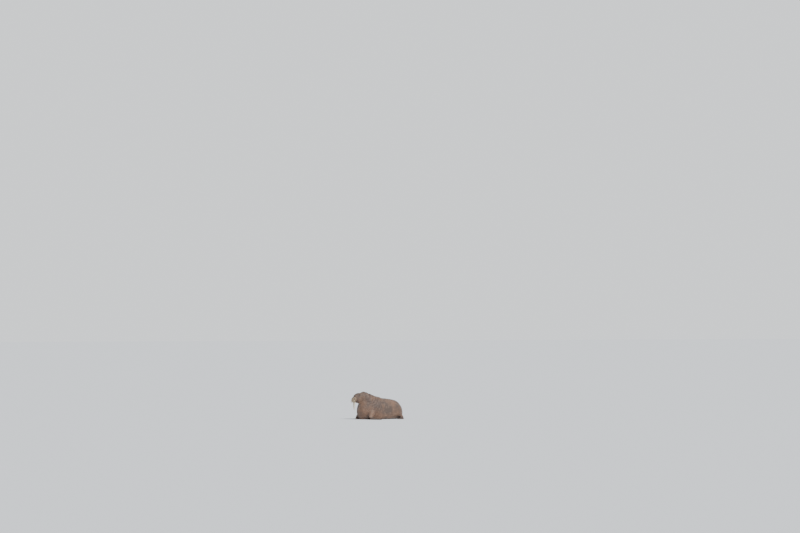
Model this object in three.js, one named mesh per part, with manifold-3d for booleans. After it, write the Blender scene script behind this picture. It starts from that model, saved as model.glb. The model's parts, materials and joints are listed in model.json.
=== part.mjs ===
// A walrus bull at life size, resting on level ground, propped on its fore flippers with its head raised.
// Millimetres, +Z up. The head points along -Y and the animal's left side is +X.
// The origin is on the ground, under the middle of the animal's box.
import * as THREE from "three";
import { LoftGeometry } from "three/addons/geometries/LoftGeometry.js";
import { mergeVertices } from "three/addons/utils/BufferGeometryUtils.js";
import Module from "manifold-3d";

const wasm = await Module();
wasm.setup();

// Driving dimensions
const GAP = 0.3; // left between two pieces that meet
const AROUND = 32; // points round each section of the body
const LIMB_AROUND = 14;
const JAW_AROUND = 16;
const TUSK_AROUND = 12;
const STEP_BODY = 70; // from one section to the next, on the trunk
const STEP_NECK = 36;
const STEP_HEAD = 26;
const RUMP_ROUND = 430; // length over which the rump rounds off
const SNOUT_ROUND = 80;
const RUMP_STEPS = [12, 26, 40, 54, 68, 80]; // degrees round the quarter circle that closes the rump
const SNOUT_STEPS = [90, 68, 48, 30, 14];
const HEAD_TURN = -17; // degrees, the head looks a little to its right
const TURN_AT = 560; // the head turns about a vertical line, this far forward
const TURN_FROM = { at: "withers", shift: -60 }; // the neck takes up the turn between these two places
const TURN_TO = { at: "brow", shift: -40 };

// The body's sections from the tail to the nose: how far forward and up the middle of each one is, how far it
// tips back in degrees, its half width, and its reach above and below the middle.
const SECTIONS = [
  { name: "tail", forward: -1195, up: 235, tip: 0, half: 385, over: 415, under: 330 },
  { name: "hips", forward: -880, up: 290, tip: 0, half: 465, over: 505, under: 380 },
  { name: "loin", forward: -540, up: 330, tip: 1, half: 505, over: 552, under: 430 },
  { name: "belly", forward: -200, up: 355, tip: 3, half: 530, over: 548, under: 460 },
  { name: "ribs", forward: 90, up: 405, tip: 12, half: 535, over: 555, under: 560 },
  { name: "shoulder", forward: 330, up: 500, tip: 27, half: 500, over: 550, under: 740 },
  { name: "withers", forward: 520, up: 660, tip: 41, half: 425, over: 470, under: 715 },
  { name: "neck", forward: 655, up: 800, tip: 43, half: 345, over: 385, under: 556 },
  { name: "nape", forward: 750, up: 888, tip: 35, half: 282, over: 322, under: 418 },
  { name: "crown", forward: 832, up: 925, tip: 21, half: 232, over: 296, under: 312 },
  { name: "brow", forward: 925, up: 935, tip: 9, half: 198, over: 226, under: 246 },
  { name: "bridge", forward: 1030, up: 925, tip: 2, half: 174, over: 212, under: 182 },
  { name: "nose", forward: 1125, up: 915, tip: 0, half: 150, over: 172, under: 136 },
  { name: "snout", forward: 1205, up: 905, tip: 0, half: 122, over: 132, under: 105 },
];
const SQUARE = 2.3; // above 2, the sections are a little squarer than ellipses

// Swellings and hollows of the body: where along, how far round from the side (90 is the back), and then
// their height and spread.
const SWELLINGS = [
  { at: "shoulder", shift: 40, round: 4, height: 36, along: 180, around: 34 },
  { at: "ribs", shift: 0, round: 12, height: -22, along: 60, around: 44 },
  { at: "belly", shift: 0, round: -26, height: 32, along: 430, around: 26 },
  { at: "hips", shift: 30, round: -6, height: 34, along: 200, around: 34 },
  { at: "loin", shift: 40, round: 90, height: -14, along: 160, around: 46 },
  { at: "crown", shift: -10, round: 90, height: 12, along: 60, around: 34 },
  { at: "brow", shift: -4, round: 90, height: -12, along: 38, around: 40 },
  { at: "brow", shift: 34, round: 40, height: 16, along: 36, around: 16 },
  { at: "bridge", shift: -20, round: -32, height: 24, along: 95, around: 26 },
];
// The neck's rolls: where they start and end, how far apart their creases are, and how they waver round
// the neck
const FOLDS = {
  from: { at: "ribs", shift: 40 },
  to: { at: "crown", shift: 10 },
  fadeIn: 220,
  fadeOut: 70,
  apart: 108,
  deep: 17,
  sharp: 1.6, // above 1, the crease is narrower than the roll
  slowWaver: 26,
  quickWaver: 13,
  onThroat: 0.24, // share of the depth that is left under the throat
};
// Where the trunk is parted, each piece named for what lies behind its cut
const CUTS = [
  { name: "rump", at: "loin", shift: -60 },
  { name: "belly", at: "ribs", shift: -40 },
  { name: "chest", at: "withers", shift: -20 },
  { name: "neck", at: "crown", shift: 30 },
];

// The face
const EYE = { at: "brow", shift: 40, round: 35, radius: 24, sunk: 12 };
const LID = { thick: 6, wide: 19, high: 10.5, through: 34 }; // the opening's half sizes
const EAR = { at: "crown", shift: 8, round: 22, long: 17, wide: 7, deep: 14, rim: 5 };
const NOSTRIL = { at: "nose", shift: 44, round: 76, long: 24, wide: 8, deep: 18, splay: 34, pitch: -30 };
const PAD = { forward: 1142, out: 84, up: 872, deep: 98, wide: 98, high: 112, pitch: 8, splay: 16 };
const PAD_CUT = { forward: 1128, up: 985, lean: 30 }; // the plane behind the whisker pads, leaning in degrees
const TUSK = {
  root: { forward: 1146, out: 80, up: 836 },
  middle: { forward: 1160, out: 92, up: 610 },
  tip: { forward: 1141, out: 84, up: 393 },
  fore: 29, // half thickness fore and aft, at the gum
  side: 23,
  taper: 0.42, // share of the thickness that is lost towards the tip
  rings: [0, 0.12, 0.26, 0.4, 0.54, 0.68, 0.8, 0.9, 0.96, 0.99, 1],
};
const JAW = [
  { forward: 935, up: 764, half: 128, over: 60, under: 82 },
  { forward: 1000, up: 764, half: 112, over: 60, under: 66 },
  { forward: 1060, up: 766, half: 94, over: 54, under: 52 },
  { forward: 1110, up: 768, half: 76, over: 44, under: 42 },
  { forward: 1148, up: 770, half: 56, over: 32, under: 30 },
  { forward: 1170, up: 773, half: 32, over: 18, under: 15 },
];
const WHISKER = { rows: 7, columns: 7, thick: 1.5, long: 88, root: 9, sides: 3 };
// Where the whiskers grow on a pad, in degrees: from high to low, and from its inner side outward
const WHISKER_FIELD = { top: 46, fall: 96, inner: -20, spread: 98 };

// The limbs. Sides are +1 for the animal's left and -1 for its right.
const FORE = {
  arm: [
    { forward: 520, out: 240, up: 420, half: 180, deep: 160 },
    { forward: 600, out: 380, up: 310, half: 160, deep: 140 },
    { forward: 660, out: 462, up: 205, half: 132, deep: 108 },
    { forward: 690, out: 515, up: 118, half: 116, deep: 80 },
    { forward: 672, out: 580, up: 56, half: 108, deep: 44 },
    { forward: 610, out: 665, up: 34, half: 96, deep: 26 },
    { forward: 545, out: 748, up: 22, half: 80, deep: 13 },
  ],
  wrist: { forward: 752, out: 480 },
  parting: { forward: 681, out: 548, up: 92 }, // the arm and the hand meet here
  points: 128, // degrees from straight ahead, outward
  long: 575,
  half: 146,
  thick: 66,
  rim: 7, // how thick the paddle's edge is, above the sole's hard skin
  digits: 5,
  heel: 0.2, // share of the length over which the heel of the hand rounds off
};
const HIND = {
  arm: [
    { forward: -800, out: 230, up: 235, half: 190, deep: 170 },
    { forward: -905, out: 335, up: 150, half: 146, deep: 118 },
    { forward: -945, out: 405, up: 84, half: 108, deep: 76 },
    { forward: -920, out: 465, up: 44, half: 92, deep: 42 },
    { forward: -865, out: 525, up: 26, half: 78, deep: 22 },
    { forward: -805, out: 585, up: 17, half: 62, deep: 11 },
  ],
  wrist: { forward: -1010, out: 372 },
  parting: { forward: -935, out: 430, up: 66 },
  points: 46,
  long: 520,
  half: 128,
  thick: 50,
  rim: 6,
  digits: 5,
  heel: 0.2,
};
const DIGIT_NAIL = { at: 0.88, half: [6, 11, 6] }; // share of the hand's length, and half sizes
const SCALLOP = 0.035; // the webs end this share of the length short of the digits
const WEB = 0.34; // share of the thickness that the webs are thinner by
const SOLE = 4; // hard skin under the hand
const TOE_ROUND = 0.93; // from this share of the length on, the digits' ends round off
const HAND_ROWS = [0.012, 0.07, 0.18, 0.36, 0.6, 0.82, TOE_ROUND, 0.98, 1]; // shares of the length
const TAIL = { forward: -1188, up: 128, long: 44, buried: 90, half: 78, thick: 34, droop: 44 };

const SKIN = { color: 0x6f5f55, roughness: 0.75, metalness: 0 };
const FLIPPER_SKIN = { color: 0x453b36, roughness: 0.7, metalness: 0 };
const IVORY = { color: 0xd8cbb0, roughness: 0.4, metalness: 0 };
const EYE_DARK = { color: 0x1c1310, roughness: 0.12, metalness: 0 };

const radians = THREE.MathUtils.degToRad;

// Distance along the middle line to each section
SECTIONS.forEach((s, i) => {
  const last = SECTIONS[i - 1];
  s.along = i ? last.along + Math.hypot(s.forward - last.forward, s.up - last.up) : 0;
});
const LENGTH = SECTIONS.at(-1).along;
const alongOf = (spot) => SECTIONS.find((s) => s.name === spot.at).along + spot.shift;
const smoothstep = THREE.MathUtils.smoothstep;

// A smooth value between the sections: a cubic through them, with slopes from the neighbours.
function smoothValue(key, along) {
  const last = SECTIONS.length - 1;
  let i = 0;
  while (i < last - 1 && SECTIONS[i + 1].along < along) i++;
  const slope = (k) => {
    const a = SECTIONS[Math.max(k - 1, 0)];
    const b = SECTIONS[Math.min(k + 1, last)];
    return (b[key] - a[key]) / (b.along - a.along);
  };
  const from = SECTIONS[i];
  const to = SECTIONS[i + 1];
  const h = to.along - from.along;
  const t = THREE.MathUtils.clamp((along - from.along) / h, 0, 1);
  const t2 = t * t;
  const t3 = t2 * t;
  return (
    (2 * t3 - 3 * t2 + 1) * from[key] +
    (t3 - 2 * t2 + t) * h * slope(i) +
    (3 * t2 - 2 * t3) * to[key] +
    (t3 - t2) * h * slope(i + 1)
  );
}

// A small number generator with a fixed start, so that the whiskers come out the same each time
function seeded(seed) {
  let state = seed;
  return () => {
    state = (state * 1664525 + 1013904223) % 4294967296;
    return state / 4294967296;
  };
}

// Frame conversions: forward, out to the left, and up
const place = (forward, left, up) => new THREE.Vector3(left, -forward, up);

const UP = new THREE.Vector3(0, 0, 1);

function turned(point, share = 1) {
  const pivot = place(TURN_AT, 0, 0);
  return point.sub(pivot).applyAxisAngle(UP, radians(HEAD_TURN) * share).add(pivot);
}
const turnedWay = (way, share = 1) => way.applyAxisAngle(UP, radians(HEAD_TURN) * share);
const turnShare = (along) => smoothstep(along, alongOf(TURN_FROM), alongOf(TURN_TO));
// Points evenly round a ring, from the angle of each
const ring = (count, point) => Array.from({ length: count }, (_, k) => point((k / count) * 2 * Math.PI));

// Solids
function solidOf(geometry) {
  const bare = new THREE.BufferGeometry();
  bare.setAttribute("position", geometry.attributes.position);
  bare.setIndex(geometry.index);
  const merged = mergeVertices(bare, 1e-4);
  return new wasm.Manifold(
    new wasm.Mesh({
      numProp: 3,
      vertProperties: merged.attributes.position.array,
      triVerts: new Uint32Array(merged.index.array),
    }),
  );
}
// A skin over a row of rings, which are turned about where they run the wrong way round
function loft(rings) {
  const middle = (points) => {
    const sum = points.reduce((total, p) => total.add(p), new THREE.Vector3());
    return sum.divideScalar(points.length);
  };
  const start = middle(rings[0]);
  const on = middle(rings[1]).sub(start);
  const winding = new THREE.Vector3();
  rings[0].forEach((p, i) => {
    const next = rings[0][(i + 1) % rings[0].length].clone().sub(start);
    winding.add(p.clone().sub(start).cross(next));
  });
  const ordered = winding.dot(on) < 0 ? rings.map((points) => [...points].reverse()) : rings;
  return solidOf(new LoftGeometry(ordered, { capStart: true, capEnd: true }));
}
// A solid that stands on the ground under a grid of points, with upright walls round its edge
function slab(rows) {
  const across = rows[0].length;
  const last = rows.length - 1;
  const top = rows.flat();
  const onGround = (i) => top.length + i;
  const index = [];
  const quad = (a, b, c, d) => index.push(a, b, c, a, c, d);
  const at = (i, j) => i * across + j;
  for (let i = 0; i < last; i++) {
    for (let j = 0; j < across - 1; j++) {
      const corners = [at(i, j), at(i, j + 1), at(i + 1, j + 1), at(i + 1, j)];
      quad(...corners);
      quad(...corners.map(onGround).reverse());
    }
  }
  const border = [
    ...rows[0].map((_, j) => at(0, j)),
    ...rows.slice(1).map((_, i) => at(i + 1, across - 1)),
    ...rows[0].slice(1).map((_, j) => at(last, across - 2 - j)),
    ...rows.slice(2).map((_, i) => at(last - 1 - i, 0)),
  ];
  border.forEach((p, k) => {
    const q = border[(k + 1) % border.length];
    quad(q, p, onGround(p), onGround(q));
  });
  const [a, b, c] = [top[0], top[1], top[across + 1]];
  const upward = b.clone().sub(a).cross(c.clone().sub(a)).z > 0;
  const points = [...top, ...top.map((p) => p.clone().setZ(0))];
  const geometry = new THREE.BufferGeometry().setFromPoints(points);
  return solidOf(geometry.setIndex(upward ? index : index.reverse()));
}
const largest = (solid) => solid.decompose().sort((a, b) => b.volume() - a.volume())[0];

// A ball squeezed to three half sizes, turned about the vertical, tipped, and placed
function ball(centre, halfSizes, turns = new THREE.Euler(), across = 16, down = 10) {
  const geometry = new THREE.SphereGeometry(1, across, down);
  geometry.scale(...halfSizes);
  const matrix = new THREE.Matrix4().makeRotationFromEuler(turns).setPosition(centre);
  return solidOf(geometry.applyMatrix4(matrix));
}

// The two parts of a solid on either side of a plane, a gap apart; the first is on the normal's side
function parted(solid, point, normal) {
  const n = normal.clone().normalize();
  const offset = n.dot(point);
  return [
    solid.trimByPlane([n.x, n.y, n.z], offset + GAP / 2),
    solid.trimByPlane([-n.x, -n.y, -n.z], -offset + GAP / 2),
  ];
}

// How far the skin stands out from the plain section, at a distance along and a direction round
function relief(along, round) {
  const side = Math.cos(round) >= 0 ? round : Math.PI - round; // both flanks read as one
  let height = 0;
  for (const s of SWELLINGS) {
    const a = (along - alongOf(s)) / s.along;
    const turn = Math.atan2(Math.sin(side - radians(s.round)), Math.cos(side - radians(s.round)));
    const r = turn / radians(s.around);
    height += s.height * Math.exp(-a * a - r * r);
  }
  // Neck folds: rounded rolls with sharp creases between them, deepest on the nape and the sides
  const from = alongOf(FOLDS.from);
  const to = alongOf(FOLDS.to);
  const begun = smoothstep(along, from, from + FOLDS.fadeIn);
  const share = begun * (1 - smoothstep(along, to - FOLDS.fadeOut, to));
  const waver = FOLDS.slowWaver * Math.sin(2 * round + 0.6) + FOLDS.quickWaver * Math.sin(5 * round);
  const roll = Math.abs(Math.sin((Math.PI * (along - from + waver)) / FOLDS.apart));
  const onBack = (1 + Math.sin(round)) / 2;
  const deep = FOLDS.onThroat + (1 - FOLDS.onThroat) * onBack;
  return height - FOLDS.deep * share * deep * Math.pow(1 - roll, FOLDS.sharp);
}

// A point of the body's surface; round is 0 at the left flank and a quarter turn at the back
function surface(along, round, grow = 0) {
  const tip = radians(smoothValue("tip", along));
  const middle = place(smoothValue("forward", along), 0, smoothValue("up", along));
  const upward = place(-Math.sin(tip), 0, Math.cos(tip));
  const rump = Math.min(1, along / RUMP_ROUND);
  const snout = Math.min(1, (LENGTH - along) / SNOUT_ROUND);
  const rounded = Math.sqrt(Math.max(0, (1 - (1 - rump) ** 2) * (1 - (1 - snout) ** 2)));
  const c = Math.cos(round);
  const s = Math.sin(round);
  const bend = (x) => Math.sign(x) * Math.pow(Math.abs(x), 2 / SQUARE);
  const out = rounded * (smoothValue("half", along) + relief(along, round)) + grow;
  const rise = rounded * (smoothValue(s >= 0 ? "over" : "under", along) + relief(along, round)) + grow;
  const leftward = new THREE.Vector3(1, 0, 0);
  const point = middle.addScaledVector(leftward, out * bend(c)).addScaledVector(upward, rise * bend(s));
  turned(point, turnShare(along));
  point.z = Math.max(0, point.z);
  return point;
}
// The direction in which the surface faces there
function facing(along, round) {
  const here = surface(along, round);
  const on = surface(along + 4, round).sub(here);
  const about = surface(along, round + 0.02).sub(here);
  return about.cross(on).normalize();
}

// Where the body's sections are cut, close together where the forms are small and at the two rounded ends
function stations() {
  const list = [];
  RUMP_STEPS.map(radians).forEach((a) => list.push(RUMP_ROUND * (1 - Math.cos(a))));
  const neck = alongOf({ at: "shoulder", shift: -40 });
  const head = alongOf({ at: "crown", shift: 0 });
  let along = RUMP_ROUND;
  while (along < LENGTH - SNOUT_ROUND) {
    list.push(along);
    along += along < neck ? STEP_BODY : along < head ? STEP_NECK : STEP_HEAD;
  }
  SNOUT_STEPS.map(radians).forEach((a) => list.push(LENGTH - SNOUT_ROUND * (1 - Math.cos(a))));
  return list;
}

function bodySolid(grow = 0) {
  return loft(stations().map((along) => ring(AROUND, (round) => surface(along, round, grow))));
}

// The whisker pads, two soft bulbs side by side
function padBall(side, grow = 0) {
  const centre = turned(place(PAD.forward, side * PAD.out, PAD.up));
  const turns = new THREE.Euler(radians(PAD.pitch), 0, radians(HEAD_TURN + side * PAD.splay));
  return ball(centre, [PAD.wide + grow, PAD.deep + grow, PAD.high + grow], turns, 22, 14);
}

// Stiff whiskers in rows over a pad, each a three sided spine that bends down a little
function whiskers(side) {
  const draw = seeded(side > 0 ? 11 : 23);
  const centre = place(PAD.forward, side * PAD.out, PAD.up);
  const made = [];
  for (let row = 0; row < WHISKER.rows; row++) {
    for (let column = 0; column < WHISKER.columns; column++) {
      const fall = (WHISKER_FIELD.fall * (row + 0.5)) / WHISKER.rows;
      const rise = radians(WHISKER_FIELD.top - fall + 5 * (draw() - 0.5));
      const shift = row % 2 ? 0.5 : 0;
      const spread = (WHISKER_FIELD.spread * (column + shift + 0.3 * draw())) / WHISKER.columns;
      const swing = radians(WHISKER_FIELD.inner + spread);
      const level = Math.cos(rise);
      const way = place(level * Math.cos(swing), side * level * Math.sin(swing), Math.sin(rise));
      const reach = new THREE.Vector3(PAD.wide, PAD.deep, PAD.high).multiply(way);
      const root = centre.clone().add(reach);
      const lie = way.clone().multiplyScalar(0.62).add(place(0.2, side * 0.1, -0.5)).normalize();
      const low = 0.4 + 0.6 * THREE.MathUtils.smoothstep(-way.z + 0.5 * Math.sin(swing), -0.6, 0.75);
      const long = WHISKER.long * low * (0.8 + 0.4 * draw());
      const line = [
        root.clone().addScaledVector(lie, -WHISKER.root),
        root.clone().addScaledVector(lie, 0.5 * long),
        root.clone().addScaledVector(lie, 0.97 * long).add(place(-0.03 * long, 0, -0.2 * long)),
      ];
      const across = UP.clone().cross(lie).normalize();
      const over = lie.clone().cross(across);
      const rings = line.map((spot, i) => {
        const radius = WHISKER.thick * [1, 0.8, 0.3][i];
        return ring(WHISKER.sides, (a) => {
          const aside = across.clone().multiplyScalar(radius * Math.cos(a));
          return turned(spot.clone().add(aside).addScaledVector(over, radius * Math.sin(a)));
        });
      });
      made.push(loft(rings));
    }
  }
  return made;
}

// A tusk: an oval horn on a gentle curve, rounded at the tip
function tuskSolid(side, grow = 0) {
  const spots = [TUSK.root, TUSK.middle, TUSK.tip].map((p) => place(p.forward, side * p.out, p.up));
  const curve = new THREE.CatmullRomCurve3(spots);
  const rings = TUSK.rings.map((t) => {
    const spot = curve.getPoint(t);
    const rounded = Math.sqrt(1 - Math.pow(t, 9) * 0.93);
    const thick = (1 - TUSK.taper * t) * rounded;
    return ring(TUSK_AROUND, (a) => {
      const out = (TUSK.side * thick + grow) * Math.cos(a);
      const on = (TUSK.fore * thick + grow) * Math.sin(a);
      return turned(spot.clone().add(place(on, out, t === 0 ? grow : 0)));
    });
  });
  return loft(rings);
}

// The lower jaw, tucked in under the pads and between the tusks
function jawSolid(grow = 0) {
  const rings = JAW.map((s) =>
    ring(JAW_AROUND, (a) => {
      const rise = (Math.sin(a) > 0 ? s.over : s.under) + grow;
      return turned(place(s.forward, (s.half + grow) * Math.cos(a), s.up + rise * Math.sin(a)));
    }),
  );
  return loft(rings);
}

const eyeBall = (centre, grow) => ball(centre, Array(3).fill(EYE.radius + grow), new THREE.Euler(), 14, 9);

// The lids: a shell over the eye with an almond opening that looks outward
function lidded(solid, centre, outward) {
  const shell = eyeBall(centre, LID.thick);
  const aim = new THREE.Matrix4().lookAt(new THREE.Vector3(), outward.clone().negate(), UP);
  const slit = new THREE.SphereGeometry(1, 14, 8).scale(LID.wide, LID.high, LID.through).applyMatrix4(aim);
  const middle = centre.clone().addScaledVector(outward, EYE.radius * 0.9);
  const opening = solidOf(slit.translate(middle.x, middle.y, middle.z));
  return solid.add(shell).subtract(opening).subtract(eyeBall(centre, GAP));
}

// The arm of a limb, from inside the body to the wrist
function armSolid(limb, side) {
  const spots = limb.arm.map((s) => place(s.forward, side * s.out, s.up));
  const rings = limb.arm.map((s, i) => {
    const before = spots[Math.max(i - 1, 0)];
    const after = spots[Math.min(i + 1, spots.length - 1)];
    const on = after.clone().sub(before).normalize();
    const across = on.clone().cross(UP).normalize();
    const over = across.clone().cross(on);
    return ring(LIMB_AROUND, (a) => {
      const aside = across.clone().multiplyScalar(s.half * Math.cos(a));
      const point = spots[i].clone().add(aside).addScaledVector(over, s.deep * Math.sin(a));
      point.z = Math.max(0, point.z);
      return point;
    });
  });
  return loft(rings);
}

// The hand of a limb: a flat paddle on the ground, with a ridge along each digit, a scalloped end and
// small nails
function handSolid(limb, side) {
  const strips = 3 * limb.digits;
  const angle = radians(limb.points);
  const on = place(Math.cos(angle), side * Math.sin(angle), 0);
  const beside = place(-Math.sin(angle), side * Math.cos(angle), 0);
  const spotAt = (u, v) => {
    const ridge = Math.sin((limb.digits * Math.PI * (v + 1)) / 2) ** 2;
    const reach = limb.long * (1 - 0.19 * ((v + 0.35) / 1.35) ** 2 - SCALLOP * (1 - ridge) * u);
    const heel = Math.sqrt(1 - (1 - Math.min(1, u / limb.heel)) ** 2);
    const half = limb.half * heel * (0.68 + 0.32 * smoothstep(u, 0, 0.75) - 0.3 * Math.max(0, u - 0.8));
    const edge = Math.sqrt(Math.max(0, 1 - Math.abs(v) ** 3));
    const valley = 1 - WEB * (1 - ridge) * smoothstep(u, 0.15, 0.55);
    const toe = Math.sqrt(1 - 0.7 * THREE.MathUtils.clamp((u - TOE_ROUND) / (1 - TOE_ROUND), 0, 1) ** 2);
    const top = SOLE + toe * heel * (limb.rim + (limb.thick * (1 - 0.86 * u ** 0.8) + 5) * edge * valley);
    return place(limb.wrist.forward, side * limb.wrist.out, 0)
      .addScaledVector(on, u * reach)
      .addScaledVector(beside, v * half)
      .setZ(top);
  };
  const rowAt = (u) => Array.from({ length: strips + 1 }, (_, i) => spotAt(u, (2 * i) / strips - 1));
  let hand = slab(HAND_ROWS.map(rowAt));
  for (let i = 0; i < limb.digits; i++) {
    const spot = spotAt(DIGIT_NAIL.at, (2 * (i + 0.5)) / limb.digits - 1);
    const turns = new THREE.Euler(0, 0, side * angle);
    hand = hand.add(ball(spot, DIGIT_NAIL.half, turns, 5, 3));
  }
  return hand;
}

function tailSolid() {
  const rings = [0, 0.4, 0.75, 0.93, 1].map((u) =>
    ring(LIMB_AROUND, (a) => {
      const half = TAIL.half * (1 - 0.66 * u ** 3);
      const thick = TAIL.thick * (1 - 0.62 * u ** 2);
      const forward = TAIL.forward + TAIL.buried - (TAIL.buried + TAIL.long) * u;
      return place(forward, -half * Math.cos(a), TAIL.up - TAIL.droop * u + thick * Math.sin(a));
    }),
  );
  return loft(rings);
}

// Putting it together
const body = bodySolid();
const bodyGrown = bodySolid(GAP);
const nodes = new Map();
const keep = (name, solid, finish) => nodes.set(name, { solid: largest(solid), finish });

// The trunk is parted at right angles to its middle line
let rest = body;
for (const cut of CUTS) {
  const along = alongOf(cut);
  const share = turnShare(along);
  const tip = radians(smoothValue("tip", along));
  const point = turned(place(smoothValue("forward", along), 0, smoothValue("up", along)), share);
  const [front, back] = parted(rest, point, turnedWay(place(Math.cos(tip), 0, Math.sin(tip)), share));
  keep(cut.name, back, SKIN);
  rest = front;
}

// The head, with its lids, ears and nostrils
let head = rest;
const eyes = [];
for (const side of [1, -1]) {
  const round = (spot) => (side > 0 ? radians(spot.round) : Math.PI - radians(spot.round));
  const outward = facing(alongOf(EYE), round(EYE));
  const centre = surface(alongOf(EYE), round(EYE)).addScaledVector(outward, -EYE.sunk);
  head = lidded(head, centre, outward);
  eyes.push([side > 0 ? "eye_left" : "eye_right", eyeBall(centre, 0)]);

  const earSpot = surface(alongOf(EAR), round(EAR));
  const earWay = facing(alongOf(EAR), round(EAR));
  const fold = new THREE.TorusGeometry(EAR.long, EAR.rim, 6, 12).scale(0.6, 1, 1);
  const aim = new THREE.Quaternion().setFromUnitVectors(UP, earWay);
  head = head.add(solidOf(fold.applyQuaternion(aim).translate(earSpot.x, earSpot.y, earSpot.z)));
  head = head.subtract(ball(earSpot, [EAR.deep, EAR.wide, EAR.long * 0.8], new THREE.Euler(), 10, 6));

  const nostril = surface(alongOf(NOSTRIL), round(NOSTRIL));
  const slit = new THREE.Euler(radians(NOSTRIL.pitch), 0, radians(HEAD_TURN + side * NOSTRIL.splay));
  head = head.subtract(ball(nostril, [NOSTRIL.wide, NOSTRIL.long, NOSTRIL.deep], slit, 10, 8));
}

// The muzzle: the pads are joined to the head's front, and the slanting cut and the middle part them from it
const pads = padBall(1).add(padBall(-1));
const lean = radians(PAD_CUT.lean);
const cutSpot = turned(place(PAD_CUT.forward, 0, PAD_CUT.up));
const cutWay = turnedWay(place(Math.cos(lean), 0, -Math.sin(lean)));
const [muzzle, skull] = parted(head.add(pads), cutSpot, cutWay);
const tusksGrown = tuskSolid(1, GAP).add(tuskSolid(-1, GAP));
keep("head", skull.subtract(tusksGrown), SKIN);
const leftWay = turnedWay(place(0, 1, 0));
const halves = parted(muzzle, cutSpot, leftWay);
const clearOfPads = (solid) => solid.subtract(bodyGrown).subtract(padBall(1, GAP)).subtract(padBall(-1, GAP));
const jawGrown = clearOfPads(jawSolid(GAP));
[1, -1].forEach((side, i) => {
  const name = side > 0 ? "left" : "right";
  const halfSpace = parted(wasm.Manifold.union([halves[i], ...whiskers(side)]), cutSpot, leftWay)[i];
  const pad = parted(halfSpace, cutSpot, cutWay)[0];
  keep("whisker_pad_" + name, pad.subtract(tusksGrown).subtract(jawGrown), SKIN);
  keep("tusk_" + name, tuskSolid(side), IVORY);
});
keep("lower_jaw", clearOfPads(jawSolid()).subtract(tusksGrown), SKIN);
eyes.forEach(([name, solid]) => keep(name, solid, EYE_DARK));

// The limbs, each cut clear of the body and parted at the wrist
for (const [word, limb] of [["fore", FORE], ["hind", HIND]]) {
  for (const side of [1, -1]) {
    const name = side > 0 ? "left" : "right";
    const angle = radians(limb.points);
    const parting = place(limb.parting.forward, side * limb.parting.out, limb.parting.up);
    const down = place(0.5 * Math.cos(angle), 0.5 * side * Math.sin(angle), -0.86);
    const whole = largest(armSolid(limb, side).add(handSolid(limb, side)).subtract(bodyGrown));
    const [hand, arm] = parted(whole, parting, down);
    keep(word + "_arm_" + name, arm, SKIN);
    keep(word + "_flipper_" + name, hand, FLIPPER_SKIN);
  }
}
keep("tail", tailSolid().subtract(bodyGrown), SKIN);

// The scene graph, moved so that the origin is under the middle of the animal's box
const walrus = new THREE.Group();
for (const [name, { solid, finish }] of nodes) {
  const made = solid.getMesh();
  const geometry = new THREE.BufferGeometry();
  const points = new Float32Array(made.numVert * 3);
  for (let i = 0; i < made.numVert; i++) {
    points.set(made.vertProperties.subarray(i * made.numProp, i * made.numProp + 3), i * 3);
  }
  geometry.setAttribute("position", new THREE.BufferAttribute(points, 3));
  geometry.setIndex(new THREE.BufferAttribute(made.triVerts, 1));
  const mesh = new THREE.Mesh(geometry, new THREE.MeshStandardMaterial(finish));
  mesh.name = name;
  walrus.add(mesh);
}
const box = new THREE.Box3().setFromObject(walrus);
walrus.position.set(-(box.min.x + box.max.x) / 2, -(box.min.y + box.max.y) / 2, -box.min.z);

export default walrus;
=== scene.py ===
# %% [markdown]
# # A walrus bull, at life size
#
# The imported model gives the walrus as plain solids: a trunk in three lengths, a neck, a head, two whisker
# pads, a jaw, two tusks, two eyes, four limbs with their flippers, and a tail. They have the right size and
# outline, but they are faceted, and thin cuts run between them. This script puts one living skin over them,
# and then makes what the solids only hint at: folds, lids, nostrils, whiskers, ivory and nails.

# %% Load the solids
import json
import math
import random

import bpy
import numpy as np
from mathutils import Matrix, Vector
from mathutils.bvhtree import BVHTree

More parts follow.
